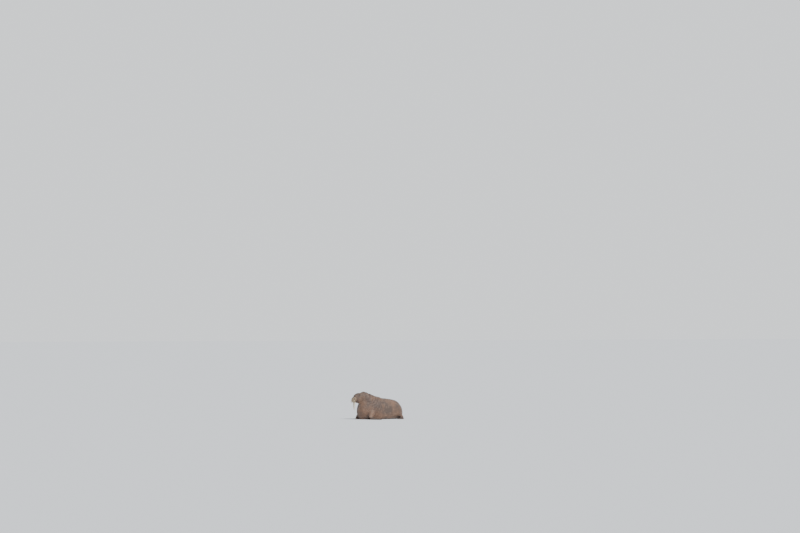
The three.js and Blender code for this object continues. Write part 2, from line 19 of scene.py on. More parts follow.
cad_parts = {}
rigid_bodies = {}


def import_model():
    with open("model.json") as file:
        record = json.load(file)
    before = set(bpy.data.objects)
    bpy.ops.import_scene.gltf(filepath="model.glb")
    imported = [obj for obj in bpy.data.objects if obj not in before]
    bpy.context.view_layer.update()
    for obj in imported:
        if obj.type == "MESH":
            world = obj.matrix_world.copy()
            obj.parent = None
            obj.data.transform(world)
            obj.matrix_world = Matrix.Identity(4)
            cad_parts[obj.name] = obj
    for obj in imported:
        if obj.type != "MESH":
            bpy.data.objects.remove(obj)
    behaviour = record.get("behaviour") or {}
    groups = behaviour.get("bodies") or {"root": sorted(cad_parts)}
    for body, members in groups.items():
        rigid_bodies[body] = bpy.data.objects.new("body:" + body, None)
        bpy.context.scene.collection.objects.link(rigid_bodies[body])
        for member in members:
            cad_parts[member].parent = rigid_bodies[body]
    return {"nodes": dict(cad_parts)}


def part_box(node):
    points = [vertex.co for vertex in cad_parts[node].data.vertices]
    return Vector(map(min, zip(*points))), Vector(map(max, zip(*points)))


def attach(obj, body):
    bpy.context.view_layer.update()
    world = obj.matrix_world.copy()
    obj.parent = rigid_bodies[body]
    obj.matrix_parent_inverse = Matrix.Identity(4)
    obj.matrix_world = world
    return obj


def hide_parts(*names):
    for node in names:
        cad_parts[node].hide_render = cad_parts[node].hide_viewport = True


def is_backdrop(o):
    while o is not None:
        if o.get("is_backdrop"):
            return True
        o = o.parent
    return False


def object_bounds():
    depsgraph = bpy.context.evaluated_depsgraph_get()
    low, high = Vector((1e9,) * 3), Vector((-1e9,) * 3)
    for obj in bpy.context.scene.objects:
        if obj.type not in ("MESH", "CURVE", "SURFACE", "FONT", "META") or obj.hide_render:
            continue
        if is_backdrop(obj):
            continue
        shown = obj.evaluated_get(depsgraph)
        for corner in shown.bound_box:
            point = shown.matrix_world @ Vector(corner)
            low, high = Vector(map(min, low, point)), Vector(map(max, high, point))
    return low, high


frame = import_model()
cad_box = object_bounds()
nodes = frame["nodes"]
print("solids:", ", ".join(sorted(nodes)))

# %% [markdown]
# ## The camera first
#
# The photograph was taken from far off with a very long lens, a little above the animal. The animal is small
# in the picture, and its near and far sides are drawn to almost the same scale. The camera therefore stands
# 120 m away. Its lens follows from how many pixels of the picture one metre of the animal fills. It is then
# turned, not shifted, until the animal is at its own place in the picture.

# %% Camera
PICTURE = (800, 533)  # pixels
PIXELS_PER_METRE = 22.9  # at the animal
FOOT_PIXEL = (377.6, 419.0)  # where the point under the middle of the animal is seen
AZIMUTH = math.radians(57)  # round from the animal's nose towards its left side
LOOK_DOWN = math.radians(2.0)
DISTANCE = 120.0
SENSOR = 36.0  # mm
NEAREST, FARTHEST = 1.0, 2000.0  # what the camera can see


def add_object(name, data):
    """A new object for some data, put in the scene."""
    made = bpy.data.objects.new(name, data)
    bpy.context.scene.collection.objects.link(made)
    return made


pixels_per_radian = PIXELS_PER_METRE * DISTANCE
camera_data = bpy.data.cameras.new("camera")
camera_data.sensor_width = SENSOR
camera_data.lens = pixels_per_radian * SENSOR / PICTURE[0]
camera_data.clip_start = NEAREST
camera_data.clip_end = FARTHEST
camera = add_object("camera", camera_data)
bpy.context.scene.camera = camera

away = Vector((
    math.sin(AZIMUTH) * math.cos(LOOK_DOWN),
    -math.cos(AZIMUTH) * math.cos(LOOK_DOWN),
    math.sin(LOOK_DOWN),
))
camera.location = away * DISTANCE
turn_aside = math.atan((FOOT_PIXEL[0] - PICTURE[0] / 2) / pixels_per_radian)
turn_up = math.atan((FOOT_PIXEL[1] - PICTURE[1] / 2) / pixels_per_radian)
aim = away.to_track_quat("Z", "Y").to_matrix()
aim = aim @ Matrix.Rotation(turn_aside, 3, "Y") @ Matrix.Rotation(turn_up, 3, "X")
camera.rotation_euler = aim.to_euler()
print(f"lens {camera_data.lens:.1f} mm at {DISTANCE:.0f} m")

# %% [markdown]
# ## The floor
#
# The animal lies on one pale sheet that runs on past the view. From here on each new piece is added with
# nothing else selected.

# %% Floor
FLOOR_SIZE = 900.0
FLOOR_GREY = (0.74, 0.76, 0.78, 1.0)
FLOOR_ROUGHNESS = 0.9


def clear_selection():
    """Deselects every object, so that the next operator acts on its own piece alone."""
    if bpy.context.object and bpy.context.object.mode != "OBJECT":
        bpy.ops.object.mode_set(mode="OBJECT")
    bpy.ops.object.select_all(action="DESELECT")


clear_selection()
bpy.ops.mesh.primitive_plane_add(size=FLOOR_SIZE, location=(0, 0, 0))
floor = bpy.context.object
floor.name = "floor"
floor_material = bpy.data.materials.new("pale_floor")
floor_material.use_nodes = True
floor_shader = floor_material.node_tree.nodes["Principled BSDF"]
floor_shader.inputs["Base Color"].default_value = FLOOR_GREY
floor_shader.inputs["Roughness"].default_value = FLOOR_ROUGHNESS
floor.data.materials.append(floor_material)
floor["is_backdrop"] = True
print(f"a floor {FLOOR_SIZE:.0f} m wide")

# %% [markdown]
# ## Light
#
# One broad soft sun stands for the big window of a studio, high on the side that the camera sees. The pale
# sky fills the shadows as an overcast day would. The camera itself sees a plain backdrop in place of the
# sky. It has the lit floor's own tone, so that no line shows where the two meet.

# %% Sun and sky
SUN_STRENGTH = 4.0
SUN_WIDTH = math.radians(24)  # how broad the sun looks, which softens its shadows
SUN_TURN = (math.radians(40), 0.0, math.radians(88))
SKY = (0.82, 0.87, 0.93, 1.0)
SKY_STRENGTH = 0.62
BACKDROP = (1.12, 1.16, 1.19, 1.0)  # what the camera sees of the sky

sun_data = bpy.data.lights.new("sun", "SUN")
sun_data.energy = SUN_STRENGTH
sun_data.angle = SUN_WIDTH
add_object("sun", sun_data).rotation_euler = SUN_TURN

world = bpy.data.worlds.new("sky")
world.use_nodes = True
sky_nodes = world.node_tree.nodes
light = sky_nodes["Background"]
light.inputs["Color"].default_value = SKY
light.inputs["Strength"].default_value = SKY_STRENGTH
backdrop = sky_nodes.new("ShaderNodeBackground")
backdrop.inputs["Color"].default_value = BACKDROP
ray = sky_nodes.new("ShaderNodeLightPath")
which = sky_nodes.new("ShaderNodeMixShader")
world.node_tree.links.new(ray.outputs["Is Camera Ray"], which.inputs["Fac"])
world.node_tree.links.new(light.outputs[0], which.inputs[1])
world.node_tree.links.new(backdrop.outputs[0], which.inputs[2])
world.node_tree.links.new(which.outputs[0], sky_nodes["World Output"].inputs["Surface"])
bpy.context.scene.world = world
print(f"sun of strength {SUN_STRENGTH}, sky of strength {SKY_STRENGTH}")

# %% [markdown]
# ## Landmarks
#
# Everything that follows is placed from the solids, so little has to be fitted by eye. The line between the
# two eyes gives the way the head faces, because the head looks a little to its right. The flat top end of
# each tusk gives the middle of the gum above it, and the tip of the tail is where distances along the body
# are counted from.

# %% Landmarks from the solids
UP = Vector((0, 0, 1))
SIGNS = {"left": 1, "right": -1}  # distances to the animal's left are plus
RING_DEPTH = 0.002  # the points this close under a tusk's top are its end ring


def middle_of(node):
    """The middle of a solid's box."""
    low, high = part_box(node)
    return (low + high) / 2


def end_ring(node):
    """The middle of a solid's highest few points."""
    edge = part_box(node)[1].z - RING_DEPTH
    ring = [v.co for v in nodes[node].data.vertices if v.co.z > edge]
    return sum(ring, Vector()) / len(ring)


eyes = {side: middle_of("eye_" + side) for side in SIGNS}
gums = {side: end_ring("tusk_" + side) for side in SIGNS}
arm_roots = [middle_of("fore_arm_" + side) for side in SIGNS]
leg_roots = [middle_of("hind_arm_" + side) for side in SIGNS]
head_left = (eyes["left"] - eyes["right"]).normalized()
head_left.z = 0
head_left.normalize()
head_ahead = head_left.cross(UP)
head_middle = (eyes["left"] + eyes["right"]) / 2
head_turn = math.atan2(head_ahead.x, -head_ahead.y)
tail_tip_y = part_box("tail")[1].y
eye_radius = (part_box("eye_left")[1].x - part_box("eye_left")[0].x) / 2
print(f"the head is turned {math.degrees(head_turn):.1f} degrees, eyes of radius {eye_radius * 1000:.0f} mm")

# %% [markdown]
# ## Places in the head
#
# The forms of the face are easier to place when they are measured from the eyes: ahead, to the left, and
# up. The whisker pads stand round the roots of the tusks, so their middle follows from the gum's.

# %% Places in the head
PAD_FROM_GUM = (-0.004, 0.004, 0.036)  # from the root of a tusk to the middle of its pad: ahead, out, up
PAD_HALF = (0.098, 0.098, 0.112)  # a whisker pad's half sizes: ahead, aside, up


def head_places(points):
    """Ahead, left and up of each point, measured from the middle between the eyes."""
    away_from_eyes = points - np.array(head_middle)
    return away_from_eyes @ np.array([head_ahead, head_left, UP]).T


def head_spot(ahead, left, up):
    """The point of space at a place in the head."""
    return head_middle + head_ahead * ahead + head_left * left + UP * up


pad_ahead, pad_out, pad_up = head_places(np.array([gums["left"]]))[0] + np.array(PAD_FROM_GUM)
print(f"whisker pads {pad_ahead:.3f} m ahead of the eyes, {pad_out:.3f} m out, {pad_up:.3f} m up")

# %% [markdown]
# ## Tools for shaping
#
# A few moves are needed again and again: to leave one piece alone selected, to copy a solid, to apply a
# modifier at once, to add a ball of three half sizes, to join up the points of a piece made of loose
# triangles, and to pick points out in edit mode. Each is written once here as a short function.

# %% Copies, modifiers and balls
SAME_PLACE = 1e-5  # points closer than this are one point
BALL_SEGMENTS, BALL_RINGS = 48, 24


def make_active(obj):
    """Leaves one piece alone selected and active."""
    clear_selection()
    obj.select_set(True)
    bpy.context.view_layer.objects.active = obj


def copy_of(node):
    """A copy of a solid with its own mesh, free of the frame."""
    made = nodes[node].copy()
    made.data = nodes[node].data.copy()
    made.parent = None
    for key in list(made.keys()):
        del made[key]
    bpy.context.scene.collection.objects.link(made)
    return made


def apply_modifier(obj, kind, **settings):
    """Adds one modifier to a piece and applies it at once."""
    bpy.context.view_layer.objects.active = obj
    modifier = obj.modifiers.new(kind.lower(), kind)
    for name, value in settings.items():
        setattr(modifier, name, value)
    bpy.ops.object.modifier_apply(modifier=modifier.name)


def add_ball(place, half, turn=0.0):
    """A ball with its own half sizes, turned about the vertical."""
    clear_selection()
    bpy.ops.mesh.primitive_uv_sphere_add(
        segments=BALL_SEGMENTS, ring_count=BALL_RINGS, radius=1, location=place
    )
    ball = bpy.context.object
    ball.scale = half
    ball.rotation_euler = (0, 0, turn)
    bpy.ops.object.transform_apply(location=True, rotation=True, scale=True)
    return ball


def joined(parts):
    """One piece made of several."""
    make_active(parts[0])
    for part in parts:
        part.select_set(True)
    bpy.ops.object.join()
    return bpy.context.object


print("whole pieces can be copied, changed and joined")

# %% [markdown]
# ## Tools for edit mode
#
# In edit mode an operator acts on the selected points alone. So the points are picked out by their numbers
# first, and then the operator deletes the rest or divides the faces, as a modeller would with the mouse.

# %% Edit mode
def merge_and_grow(obj, growth=0.0):
    """Joins up the loose triangles of a piece, and then moves its points outward."""
    make_active(obj)
    bpy.ops.object.mode_set(mode="EDIT")
    bpy.ops.mesh.select_all(action="SELECT")
    bpy.ops.mesh.remove_doubles(threshold=SAME_PLACE)
    if growth:
        bpy.ops.transform.shrink_fatten(value=growth)
    bpy.ops.object.mode_set(mode="OBJECT")


def pick_points(obj, chosen):
    """Goes into edit mode with the chosen points selected and no others."""
    make_active(obj)
    bpy.ops.object.mode_set(mode="EDIT")
    bpy.ops.mesh.select_mode(type="VERT")
    bpy.ops.mesh.select_all(action="DESELECT")
    bpy.ops.object.mode_set(mode="OBJECT")
    flags = np.zeros(len(obj.data.vertices), bool)
    flags[chosen] = True
    obj.data.vertices.foreach_set("select", flags)
    bpy.ops.object.mode_set(mode="EDIT")


def keep_linked_to(obj, index):
    """Keeps only the closed surface that holds one point, and deletes loose specks and hidden shells."""
    pick_points(obj, index)
    bpy.ops.mesh.select_linked()
    bpy.ops.mesh.select_all(action="INVERT")
    bpy.ops.mesh.delete(type="VERT")
    bpy.ops.object.mode_set(mode="OBJECT")


def divide_where(obj, chosen):
    """Divides in four the faces whose points are all chosen."""
    pick_points(obj, chosen)
    bpy.ops.mesh.select_mode(type="FACE")
    bpy.ops.mesh.subdivide(number_cuts=1, smoothness=0.0, quadcorner="STRAIGHT_CUT")
    bpy.ops.object.mode_set(mode="OBJECT")


print("points closer than", SAME_PLACE, "m are merged")

# %% [markdown]
# ## Points as rows of numbers
#
# Hundreds of thousands of points are too many to move one at a time. The mesh hands them over as rows of
# numbers, all rows are worked on at once, and the mesh takes them back.

# %% Points as rows of numbers
def rows_of(items, name):
    """Three numbers of each item of a mesh, as a numpy array of rows."""
    flat = np.empty(len(items) * 3, np.float32)
    items.foreach_get(name, flat)
    return flat.reshape(-1, 3).astype(float)


def points_of(obj):
    return rows_of(obj.data.vertices, "co")


def normals_of(obj):
    return rows_of(obj.data.vertex_normals, "vector")


def put_points(obj, points):
    obj.data.vertices.foreach_set("co", points.ravel())
    obj.data.update()


def push_out(obj, height):
    """Moves each point outward along its normal by its own height."""
    put_points(obj, points_of(obj) + normals_of(obj) * height[:, None])


def triangles_of(obj):
    return sum(len(p.vertices) - 2 for p in obj.data.polygons)


def tree_of(obj):
    """A search tree over a piece's faces, which finds where a ray meets them."""
    return BVHTree.FromPolygons(points_of(obj).tolist(), [tuple(p.vertices) for p in obj.data.polygons])


print("the chest solid has", triangles_of(nodes["chest"]), "triangles")

# %% [markdown]
# ## One skin over the solids
#
# On the animal one hide covers everything from the nose to the nails, so one mesh covers all the flesh here.
# Copies of the solids are joined. A ball is added over the root of each tusk for the gum, and a long one
# between the whisker pads, where the upper lip joins them. The flippers' thin rims are made a little thicker,
# as a voxel would tear them. Then a voxel remesh melts it all into one closed surface of even small squares.
# The thin cuts vanish, because they are narrower than a voxel, and so do the solids' whiskers, which leave
# only loose specks to delete.

# %% Melt the flesh into one surface
FINE_VOXEL, QUICK_VOXEL = 0.0062, 0.009
VOXEL = FINE_VOXEL
GUM_RADIUS = 0.042
GUM_SUNK = 0.012  # the gum's middle lies this far under the top of the tusk
LIP_HALF = (0.055, 0.060, 0.088)  # half sizes of the ball between the pads: across, ahead, up
LIP_AHEAD, LIP_UP = 0.030, -0.010  # from the pads' middle
RIM_GROWTH = 0.0020  # the flippers are this much thicker before the remesh
APART = ("tusk_left", "tusk_right", "eye_left", "eye_right")
flesh = sorted(n for n in nodes if n not in APART)

parts = [copy_of(n) for n in flesh + ["eye_left", "eye_right"]]
for part in parts:
    if "flipper" in part.name:
        merge_and_grow(part, RIM_GROWTH)
for gum in gums.values():
    parts.append(add_ball(gum - UP * GUM_SUNK, (GUM_RADIUS,) * 3))
parts.append(add_ball(head_spot(pad_ahead + LIP_AHEAD, 0, pad_up + LIP_UP), LIP_HALF, head_turn))
skin = joined(parts)
skin.name = "skin"
merge_and_grow(skin)
apply_modifier(skin, "REMESH", mode="VOXEL", voxel_size=VOXEL)
before = len(skin.data.polygons)
keep_linked_to(skin, int(points_of(skin)[:, 2].argmax()))
print(f"skin: {len(skin.data.polygons)} squares, {before - len(skin.data.polygons)} loose ones deleted")

# %% [markdown]
# ## Where each point of the skin is on the body
#
# A fold runs round the body, whatever way the body bends, so two numbers are worked out for every point of
# the skin: how far along the body it is from the tail's tip, and how far round from the flank. The middle
# line is given by a few stations, each with the tilt of the slice through it, and each point is found in the
# slice that holds it.

# %% The body's middle line
# Each station: metres forward of the tail's tip, height, and how far the slice tips back in degrees.
STATIONS = np.array([
    (0.037, 0.235, 0),
    (0.352, 0.290, 0),
    (0.692, 0.330, 1),
    (1.032, 0.355, 3),
    (1.322, 0.405, 12),
    (1.562, 0.500, 27),
    (1.752, 0.660, 41),
    (1.887, 0.800, 43),
    (1.982, 0.888, 35),
    (2.064, 0.925, 21),
    (2.157, 0.935, 9),
    (2.262, 0.925, 2),
    (2.357, 0.915, 0),
    (2.437, 0.905, 0),
])
NECK_STATION, HEAD_STATION = 4, 9  # the neck and the head begin at these
SLICES = 240
station_along = np.concatenate([[0], np.cumsum(np.hypot(*np.diff(STATIONS[:, :2], axis=0).T))])
NECK_FROM, HEAD_FROM = station_along[NECK_STATION], station_along[HEAD_STATION]
slice_along = np.linspace(0, station_along[-1], SLICES)
slice_forward, slice_up, slice_tip = (np.interp(slice_along, station_along, STATIONS[:, k]) for k in range(3))
slice_tip = np.radians(slice_tip)
print(f"the neck begins {NECK_FROM:.2f} m along the body, and the head {HEAD_FROM:.2f} m")

# %% [markdown]
# ## How far along, and how far round
#
# The head is turned back first, so that the body is straight seen from above. Each point is then between
# two slices of the middle line, and its share of the way from one to the other gives its distance along.

# %% Body coordinates
TURN_POINT = 1.792  # the head turns about a vertical line, this far forward of the tail's tip
TURN_START, TURN_END = TURN_POINT - 0.03, TURN_POINT + 0.25  # the neck takes up the turn between these
BATCH = 20000  # points worked on at once


def smooth_step(x, low, high):
    """0 before low, 1 past high, and an even curve between them."""
    t = np.clip((x - low) / (high - low), 0, 1)
    return t * t * (3 - 2 * t)


def straightened(points):
    """Forward, left and up of each point, with the head turned back to look straight ahead."""
    forward, left = tail_tip_y - points[:, 1], points[:, 0]
    angle = -head_turn * smooth_step(forward, TURN_START, TURN_END)
    ahead = forward - TURN_POINT
    straight_forward = TURN_POINT + ahead * np.cos(angle) - left * np.sin(angle)
    straight_left = left * np.cos(angle) + ahead * np.sin(angle)
    return np.column_stack([straight_forward, straight_left, points[:, 2]])


def slice_of(straight):
    """Metres along the body, from the two slices that each point lies between."""
    ahead = (straight[:, :1] - slice_forward) * np.cos(slice_tip)
    ahead = ahead + (straight[:, 2:] - slice_up) * np.sin(slice_tip)
    last = np.clip((ahead > 0).sum(axis=1), 1, SLICES - 1)
    rows = np.arange(len(straight))
    near, far = ahead[rows, last - 1], ahead[rows, last]
    share = np.clip(near / np.maximum(near - far, 1e-9), 0, 1)
    return slice_along[last - 1] + share * (slice_along[1] - slice_along[0])


def body_coordinates(points):
    """Metres along the body, and the angle round it: 0 at the flank, a quarter turn on the back."""
    straight = straightened(points)
    along = np.empty(len(points))
    for start in range(0, len(points), BATCH):
        along[start : start + BATCH] = slice_of(straight[start : start + BATCH])
    tip = np.interp(along, slice_along, slice_tip)
    ahead = straight[:, 0] - np.interp(along, slice_along, slice_forward)
    above = straight[:, 2] - np.interp(along, slice_along, slice_up)
    rise = -ahead * np.sin(tip) + above * np.cos(tip)
    return along, np.arctan2(rise, np.abs(straight[:, 1]))


skin_along, skin_round = body_coordinates(points_of(skin))
print(f"the skin runs from {skin_along.min():.2f} to {skin_along.max():.2f} m along the body")

# %% [markdown]
# ## Smoothing the facets away
#
# The solids are cut like gems. Their facets are large on the trunk and small on the head, so the trunk is
# smoothed long and the head and flippers only lightly: a vertex group says where each pass of the Smooth
# modifier acts. This also wipes out the coarse neck folds, which come back finer below.

# %% Regions of the body
# Each pair is where a region begins and where it is whole, in metres
FLIPPER_LOW, FLIPPER_OUT = (0.10, 0.16), (0.42, 0.50)
LIMB_LOW, LIMB_OUT, LIMB_FORWARD = (0.34, 0.46), (0.45, 0.53), (-0.60, -0.40)
ARM_ROUND, LEG_ROUND, TAIL_ROUND = (0.26, 0.36), (0.17, 0.26), (0.07, 0.12)
THROAT_BACK, THROAT_LOW = (-0.15, -0.08), (-0.13, -0.05)  # from the pads' middle, and from the eyes


def weigh(obj, name, weights):
    """A vertex group with a weight for each point, in steps of a tenth."""
    group = obj.vertex_groups.new(name=name)
    steps = np.round(weights * 10).astype(int)
    for step in range(1, 11):
        chosen = np.flatnonzero(steps == step)
        if len(chosen):
            group.add(chosen.tolist(), step / 10, "REPLACE")


def close_to(points, spot, reach):
    """1 near a spot, fading to 0 between two distances from it."""
    return 1 - smooth_step(np.linalg.norm(points - np.array(spot), axis=1), *reach)


def region_weights(points, along):
    """How far each point belongs to the trunk, to anything but flippers and tail, and to the throat."""
    side, height = np.abs(points[:, 0]), points[:, 2]
    flipper = smooth_step(side, *FLIPPER_OUT) * (1 - smooth_step(height, *FLIPPER_LOW))
    fore_limb = smooth_step(side, *LIMB_OUT) * (1 - smooth_step(height, *LIMB_LOW))
    fore_limb = fore_limb * smooth_step(-points[:, 1], *LIMB_FORWARD)
    near_limb = [close_to(points, root, ARM_ROUND) for root in arm_roots]
    near_limb = np.max(near_limb + [close_to(points, root, LEG_ROUND) for root in leg_roots], axis=0)
    head = smooth_step(along, HEAD_FROM - 0.10, HEAD_FROM + 0.02)
    tail = close_to(points, middle_of("tail"), TAIL_ROUND)
    trunk = (1 - head) * (1 - near_limb) * (1 - flipper) * (1 - tail) * (1 - fore_limb)
    places = head_places(points)
    throat = head * (1 - smooth_step(places[:, 0] - pad_ahead, *THROAT_BACK))
    throat *= 1 - smooth_step(places[:, 2], *THROAT_LOW)
    return np.clip(trunk, 0, 1), np.clip((1 - flipper) * (1 - tail), 0, 1), throat


for name, weights in zip(("trunk", "body", "throat"), region_weights(points_of(skin), skin_along)):
    weigh(skin, name, weights)
    print(f"{name}: {int((weights > 0.5).sum())} points")

# %% [markdown]
# ## Smooth by region
#
# The modifier moves each point towards the middle of its neighbours, again and again. A coarser mesh gets
# fewer passes, because each of its passes reaches farther.

# %% Smooth by region
SMOOTH_FACTOR = 0.5
LIGHT, MIDDLE, THROAT, LONG = 4, 12, 90, 200  # passes, for voxels of the fine size

coarser = (FINE_VOXEL / VOXEL) ** 2
for group, passes in (
    ("", LIGHT),
    ("body", MIDDLE),
    ("throat", int(THROAT * coarser)),
    ("trunk", int(LONG * coarser)),
):
    apply_modifier(skin, "SMOOTH", factor=SMOOTH_FACTOR, iterations=passes, vertex_group=group)
    print(f"{passes} passes over {group or 'everything'}")

# %% [markdown]
# ## A helper for uneven shapes
#
# Skin is never regular. This helper gives a smooth random height at each point in space: random numbers on
# the corners of a grid of cubes, blended inside each cube. Added at two or three sizes it makes soft lumps,
# and its distance from zero makes sharp valleys, which read as wrinkles. The numbers come from the corner's
# own place, so they are the same on each run.

# %% Value noise
def corner_value(ix, iy, iz, seed):
    """A number from -1 to 1 that depends only on the corner's place and the seed."""
    mixed = (ix * 73856093) ^ (iy * 19349663) ^ (iz * 83492791) ^ (seed * 2654435761)
    mixed = (mixed ^ (mixed >> 13)) * 1274126177
    mixed = (mixed ^ (mixed >> 16)) & 0xFFFF
    return mixed / 32767.5 - 1


def lumps(points, size, seed):
    """Smooth random heights between -1 and 1, with lumps about as wide as size."""
    scaled = points / size
    low = np.floor(scaled).astype(np.int64)
    part = scaled - low
    part = part * part * (3 - 2 * part)
    total = np.zeros(len(points))
    for dx in (0, 1):
        for dy in (0, 1):
            for dz in (0, 1):
                share = (
                    (part[:, 0] if dx else 1 - part[:, 0])
                    * (part[:, 1] if dy else 1 - part[:, 1])
                    * (part[:, 2] if dz else 1 - part[:, 2])
                )
                total += share * corner_value(low[:, 0] + dx, low[:, 1] + dy, low[:, 2] + dz, seed)
    return total


def wrinkles(points, size, seed, sharp):
    """0 on the smooth skin and up to 1 at the bottom of thin winding valleys."""
    return np.clip(1 - np.abs(lumps(points, size, seed)) * sharp, 0, 1) ** 1.5


print("a test value:", round(float(lumps(np.array([[0.1, 0.2, 0.3]]), 0.05, 0)[0]), 4))

# %% [markdown]
# ## Folds of the neck and body
#
# With the head raised, the thick hide of a bull's neck is pushed into rolls, each with a sharp valley between
# it and the next. They are deepest on the nape and die out on the throat. Finer wrinkles cross them. Round
# the roots of the limbs the hide gathers in arcs, and the belly is pressed into low creases over the ground.
# Each of these is a height worked out from the body coordinates, and all of them together move the points in
# or out along their normals.

# %% Rolls and wrinkles of the neck
FOLD = 0.108  # from one neck roll to the next


def valleys(x, apart, sharp):
    """0 on broad rolls and 1 in the narrow valleys between them, which are this far apart."""
    return (1 - np.abs(np.sin(math.pi * x / apart))) ** sharp


def neck_share(along):
    """1 on the neck and shoulders, 0 on the back and on the head."""
    start, end = NECK_FROM + 0.02, HEAD_FROM + 0.01
    return smooth_step(along, start, start + 0.26) * (1 - smooth_step(along, end - 0.08, end))


def neck_folds(points, along, around):
    """Depth of the neck's folds at each point, 0 to 1."""
    wander = 0.026 * np.sin(2 * around + 0.6) + 0.013 * np.sin(5 * around)
    wander += 0.030 * lumps(points, 0.21, 3) + 0.010 * lumps(points, 0.07, 4)
    deep = 0.55 + 0.45 * np.sin(around)
    broken = np.clip(0.75 + 0.45 * lumps(points, 0.26, 5), 0, 1.2)
    return neck_share(along) * deep * broken * valleys(along - NECK_FROM - 0.04 + wander, FOLD, 1.7)


def fine_folds(points, along, around):
    """Thin wrinkles that follow the folds, on the neck, the chest and the flanks."""
    stretched = np.column_stack([along / 0.30, around * 0.55, np.zeros(len(points))])
    stretched[:, 0] += 0.09 * lumps(points, 0.13, 8)
    thin = wrinkles(stretched, 0.085, 9, 2.6)
    thin = np.maximum(thin, 0.7 * wrinkles(stretched, 0.045, 10, 2.4))
    place = 0.42 + 0.58 * smooth_step(along, NECK_FROM - 0.25, NECK_FROM + 0.25)
    return place * (1 - smooth_step(along, HEAD_FROM - 0.02, HEAD_FROM + 0.08)) * thin


print(f"{(HEAD_FROM - NECK_FROM) / FOLD:.0f} rolls from the shoulders to the head")

# %% [markdown]
# ## Gathered hide
#
# A limb pulls the hide into arcs round its root, so their depth depends on the distance from that root.
# Over the ground the belly's creases lie level, so theirs depends on the height.

# %% Folds round the limbs and over the ground
BELLY_FOLD = 0.085  # from one crease of the belly to the next, in height
# The arcs round a limb begin and end this far from its middle, and are this far apart
ARM_ARCS, LEG_ARCS = (0.20, 0.40, 0.052), (0.14, 0.34, 0.050)


def limb_folds(points):
    """Arcs of gathered hide round the root of each limb."""
    total = np.zeros(len(points))
    uneven = 0.020 * lumps(points, 0.09, 12)
    deep = 0.6 + 0.5 * lumps(points, 0.15, 13)
    for roots, (inner, outer, apart) in ((arm_roots, ARM_ARCS), (leg_roots, LEG_ARCS)):
        for root in roots:
            distance = np.linalg.norm(points - np.array(root), axis=1) + uneven
            band = smooth_step(distance, inner - 0.05, inner + 0.02)
            band *= 1 - smooth_step(distance, outer - 0.1, outer)
            total = np.maximum(total, band * valleys(distance, apart, 1.6) * deep)
    return total


def belly_folds(points):
    """Low creases where the belly is pressed over the ground."""
    height = points[:, 2] + 0.030 * lumps(points * (1, 0.45, 1), 0.16, 15)
    low = 1 - smooth_step(points[:, 2], 0.12, 0.26)
    return valleys(height, BELLY_FOLD, 2) * low * np.clip(0.5 + lumps(points, 0.3, 16), 0, 1)


print(f"arcs round {len(arm_roots + leg_roots)} limbs")

# %% [markdown]
# ## All the folds together
#
# The depths are added up into one height for each point. Where the head and the flippers have forms of
# their own, the body's folds fade out. The same numbers also say how deep in a crease a point is, which
# sets the painted shade that darkens the creases later.

# %% Relief of the hide
BROAD_LUMPS, SMALL_LUMPS = 0.007, 0.0030
FOLD_DEPTH, WRINKLE_DEPTH, ARC_DEPTH, BELLY_DEPTH = 0.021, 0.0036, 0.0085, 0.007


def head_share(along):
    """0 on the neck and 1 on the head."""
    return smooth_step(along, HEAD_FROM - 0.02, HEAD_FROM + 0.10)


def relief(points, along, around):
    """The height of the hide over the smooth body, in metres, and how deep in a crease each point is, for its
    painted shade.
    """
    head = head_share(along)
    outside = 1 - smooth_step(np.abs(points[:, 0]), 0.50, 0.60)
    folds = neck_folds(points, along, around) * outside
    thin = fine_folds(points, along, around) * outside
    gathered = limb_folds(points) * (1 - head) * (0.35 + 0.65 * outside)
    low = belly_folds(points) * outside * (1 - head)
    height = BROAD_LUMPS * lumps(points, 0.34, 1) + SMALL_LUMPS * lumps(points, 0.12, 2)
    height *= 1 - 0.8 * head
    height -= FOLD_DEPTH * folds + WRINKLE_DEPTH * thin + ARC_DEPTH * gathered + BELLY_DEPTH * low
    # how deep in a crease each point is: the share of painted shade that darkens it later
    crease_shade = np.clip(folds * 1.2 + 0.35 * thin + 0.7 * gathered + 0.6 * low, 0, 1)
    return height, crease_shade


height, _ = relief(points_of(skin), skin_along, skin_round)
push_out(skin, height)
print(f"relief from {height.min() * 1000:.1f} to {height.max() * 1000:.1f} mm")

# %% [markdown]
# ## Bosses
#
# A grown bull carries knobs of thickened skin on its neck, chest and shoulders. Each is a low round bump two
# or three centimetres across. They are scattered at random, with a fixed seed, and kept a little apart.

# %% Bosses on the neck and chest
BOSSES = 260
BOSS_RADIUS = 0.014
BOSS_HEIGHT = 0.0065
BOSS_APART = 0.042
BOSS_LOWEST = 0.3
draw = np.random.default_rng(7)


def boss_places():
    """Points of the skin that carry a boss."""
    spots = points_of(skin)
    along, around = body_coordinates(spots)
    wanted = (along > NECK_FROM + 0.02) & (along < HEAD_FROM - 0.06)
    wanted &= (around > -0.9) & (spots[:, 2] > BOSS_LOWEST)
    chosen = spots[draw.permutation(np.flatnonzero(wanted))[: BOSSES * 3]]
    kept = []
    for spot in chosen:
        if all(np.linalg.norm(spot - other) > BOSS_APART for other in kept):
            kept.append(spot)
        if len(kept) == BOSSES:
            break
    return np.array(kept)


def boss_share(points):
    """1 at the middle of a boss, falling to 0 at its edge."""
    total = np.zeros(len(points))
    region = np.flatnonzero((points[:, 1] < 0.2) & (points[:, 2] > 0.2))
    share = np.zeros(len(region))
    for k, spot in enumerate(bosses):
        size = BOSS_RADIUS * (0.7 + 0.6 * ((k * 7) % 10) / 10)
        away_squared = ((points[region] - spot) ** 2).sum(axis=1)
        share = np.maximum(share, np.exp(-((away_squared / size**2) ** 1.5)))
    total[region] = share
    return total


bosses = boss_places()
push_out(skin, BOSS_HEIGHT * boss_share(points_of(skin)))
print(f"{len(bosses)} bosses")

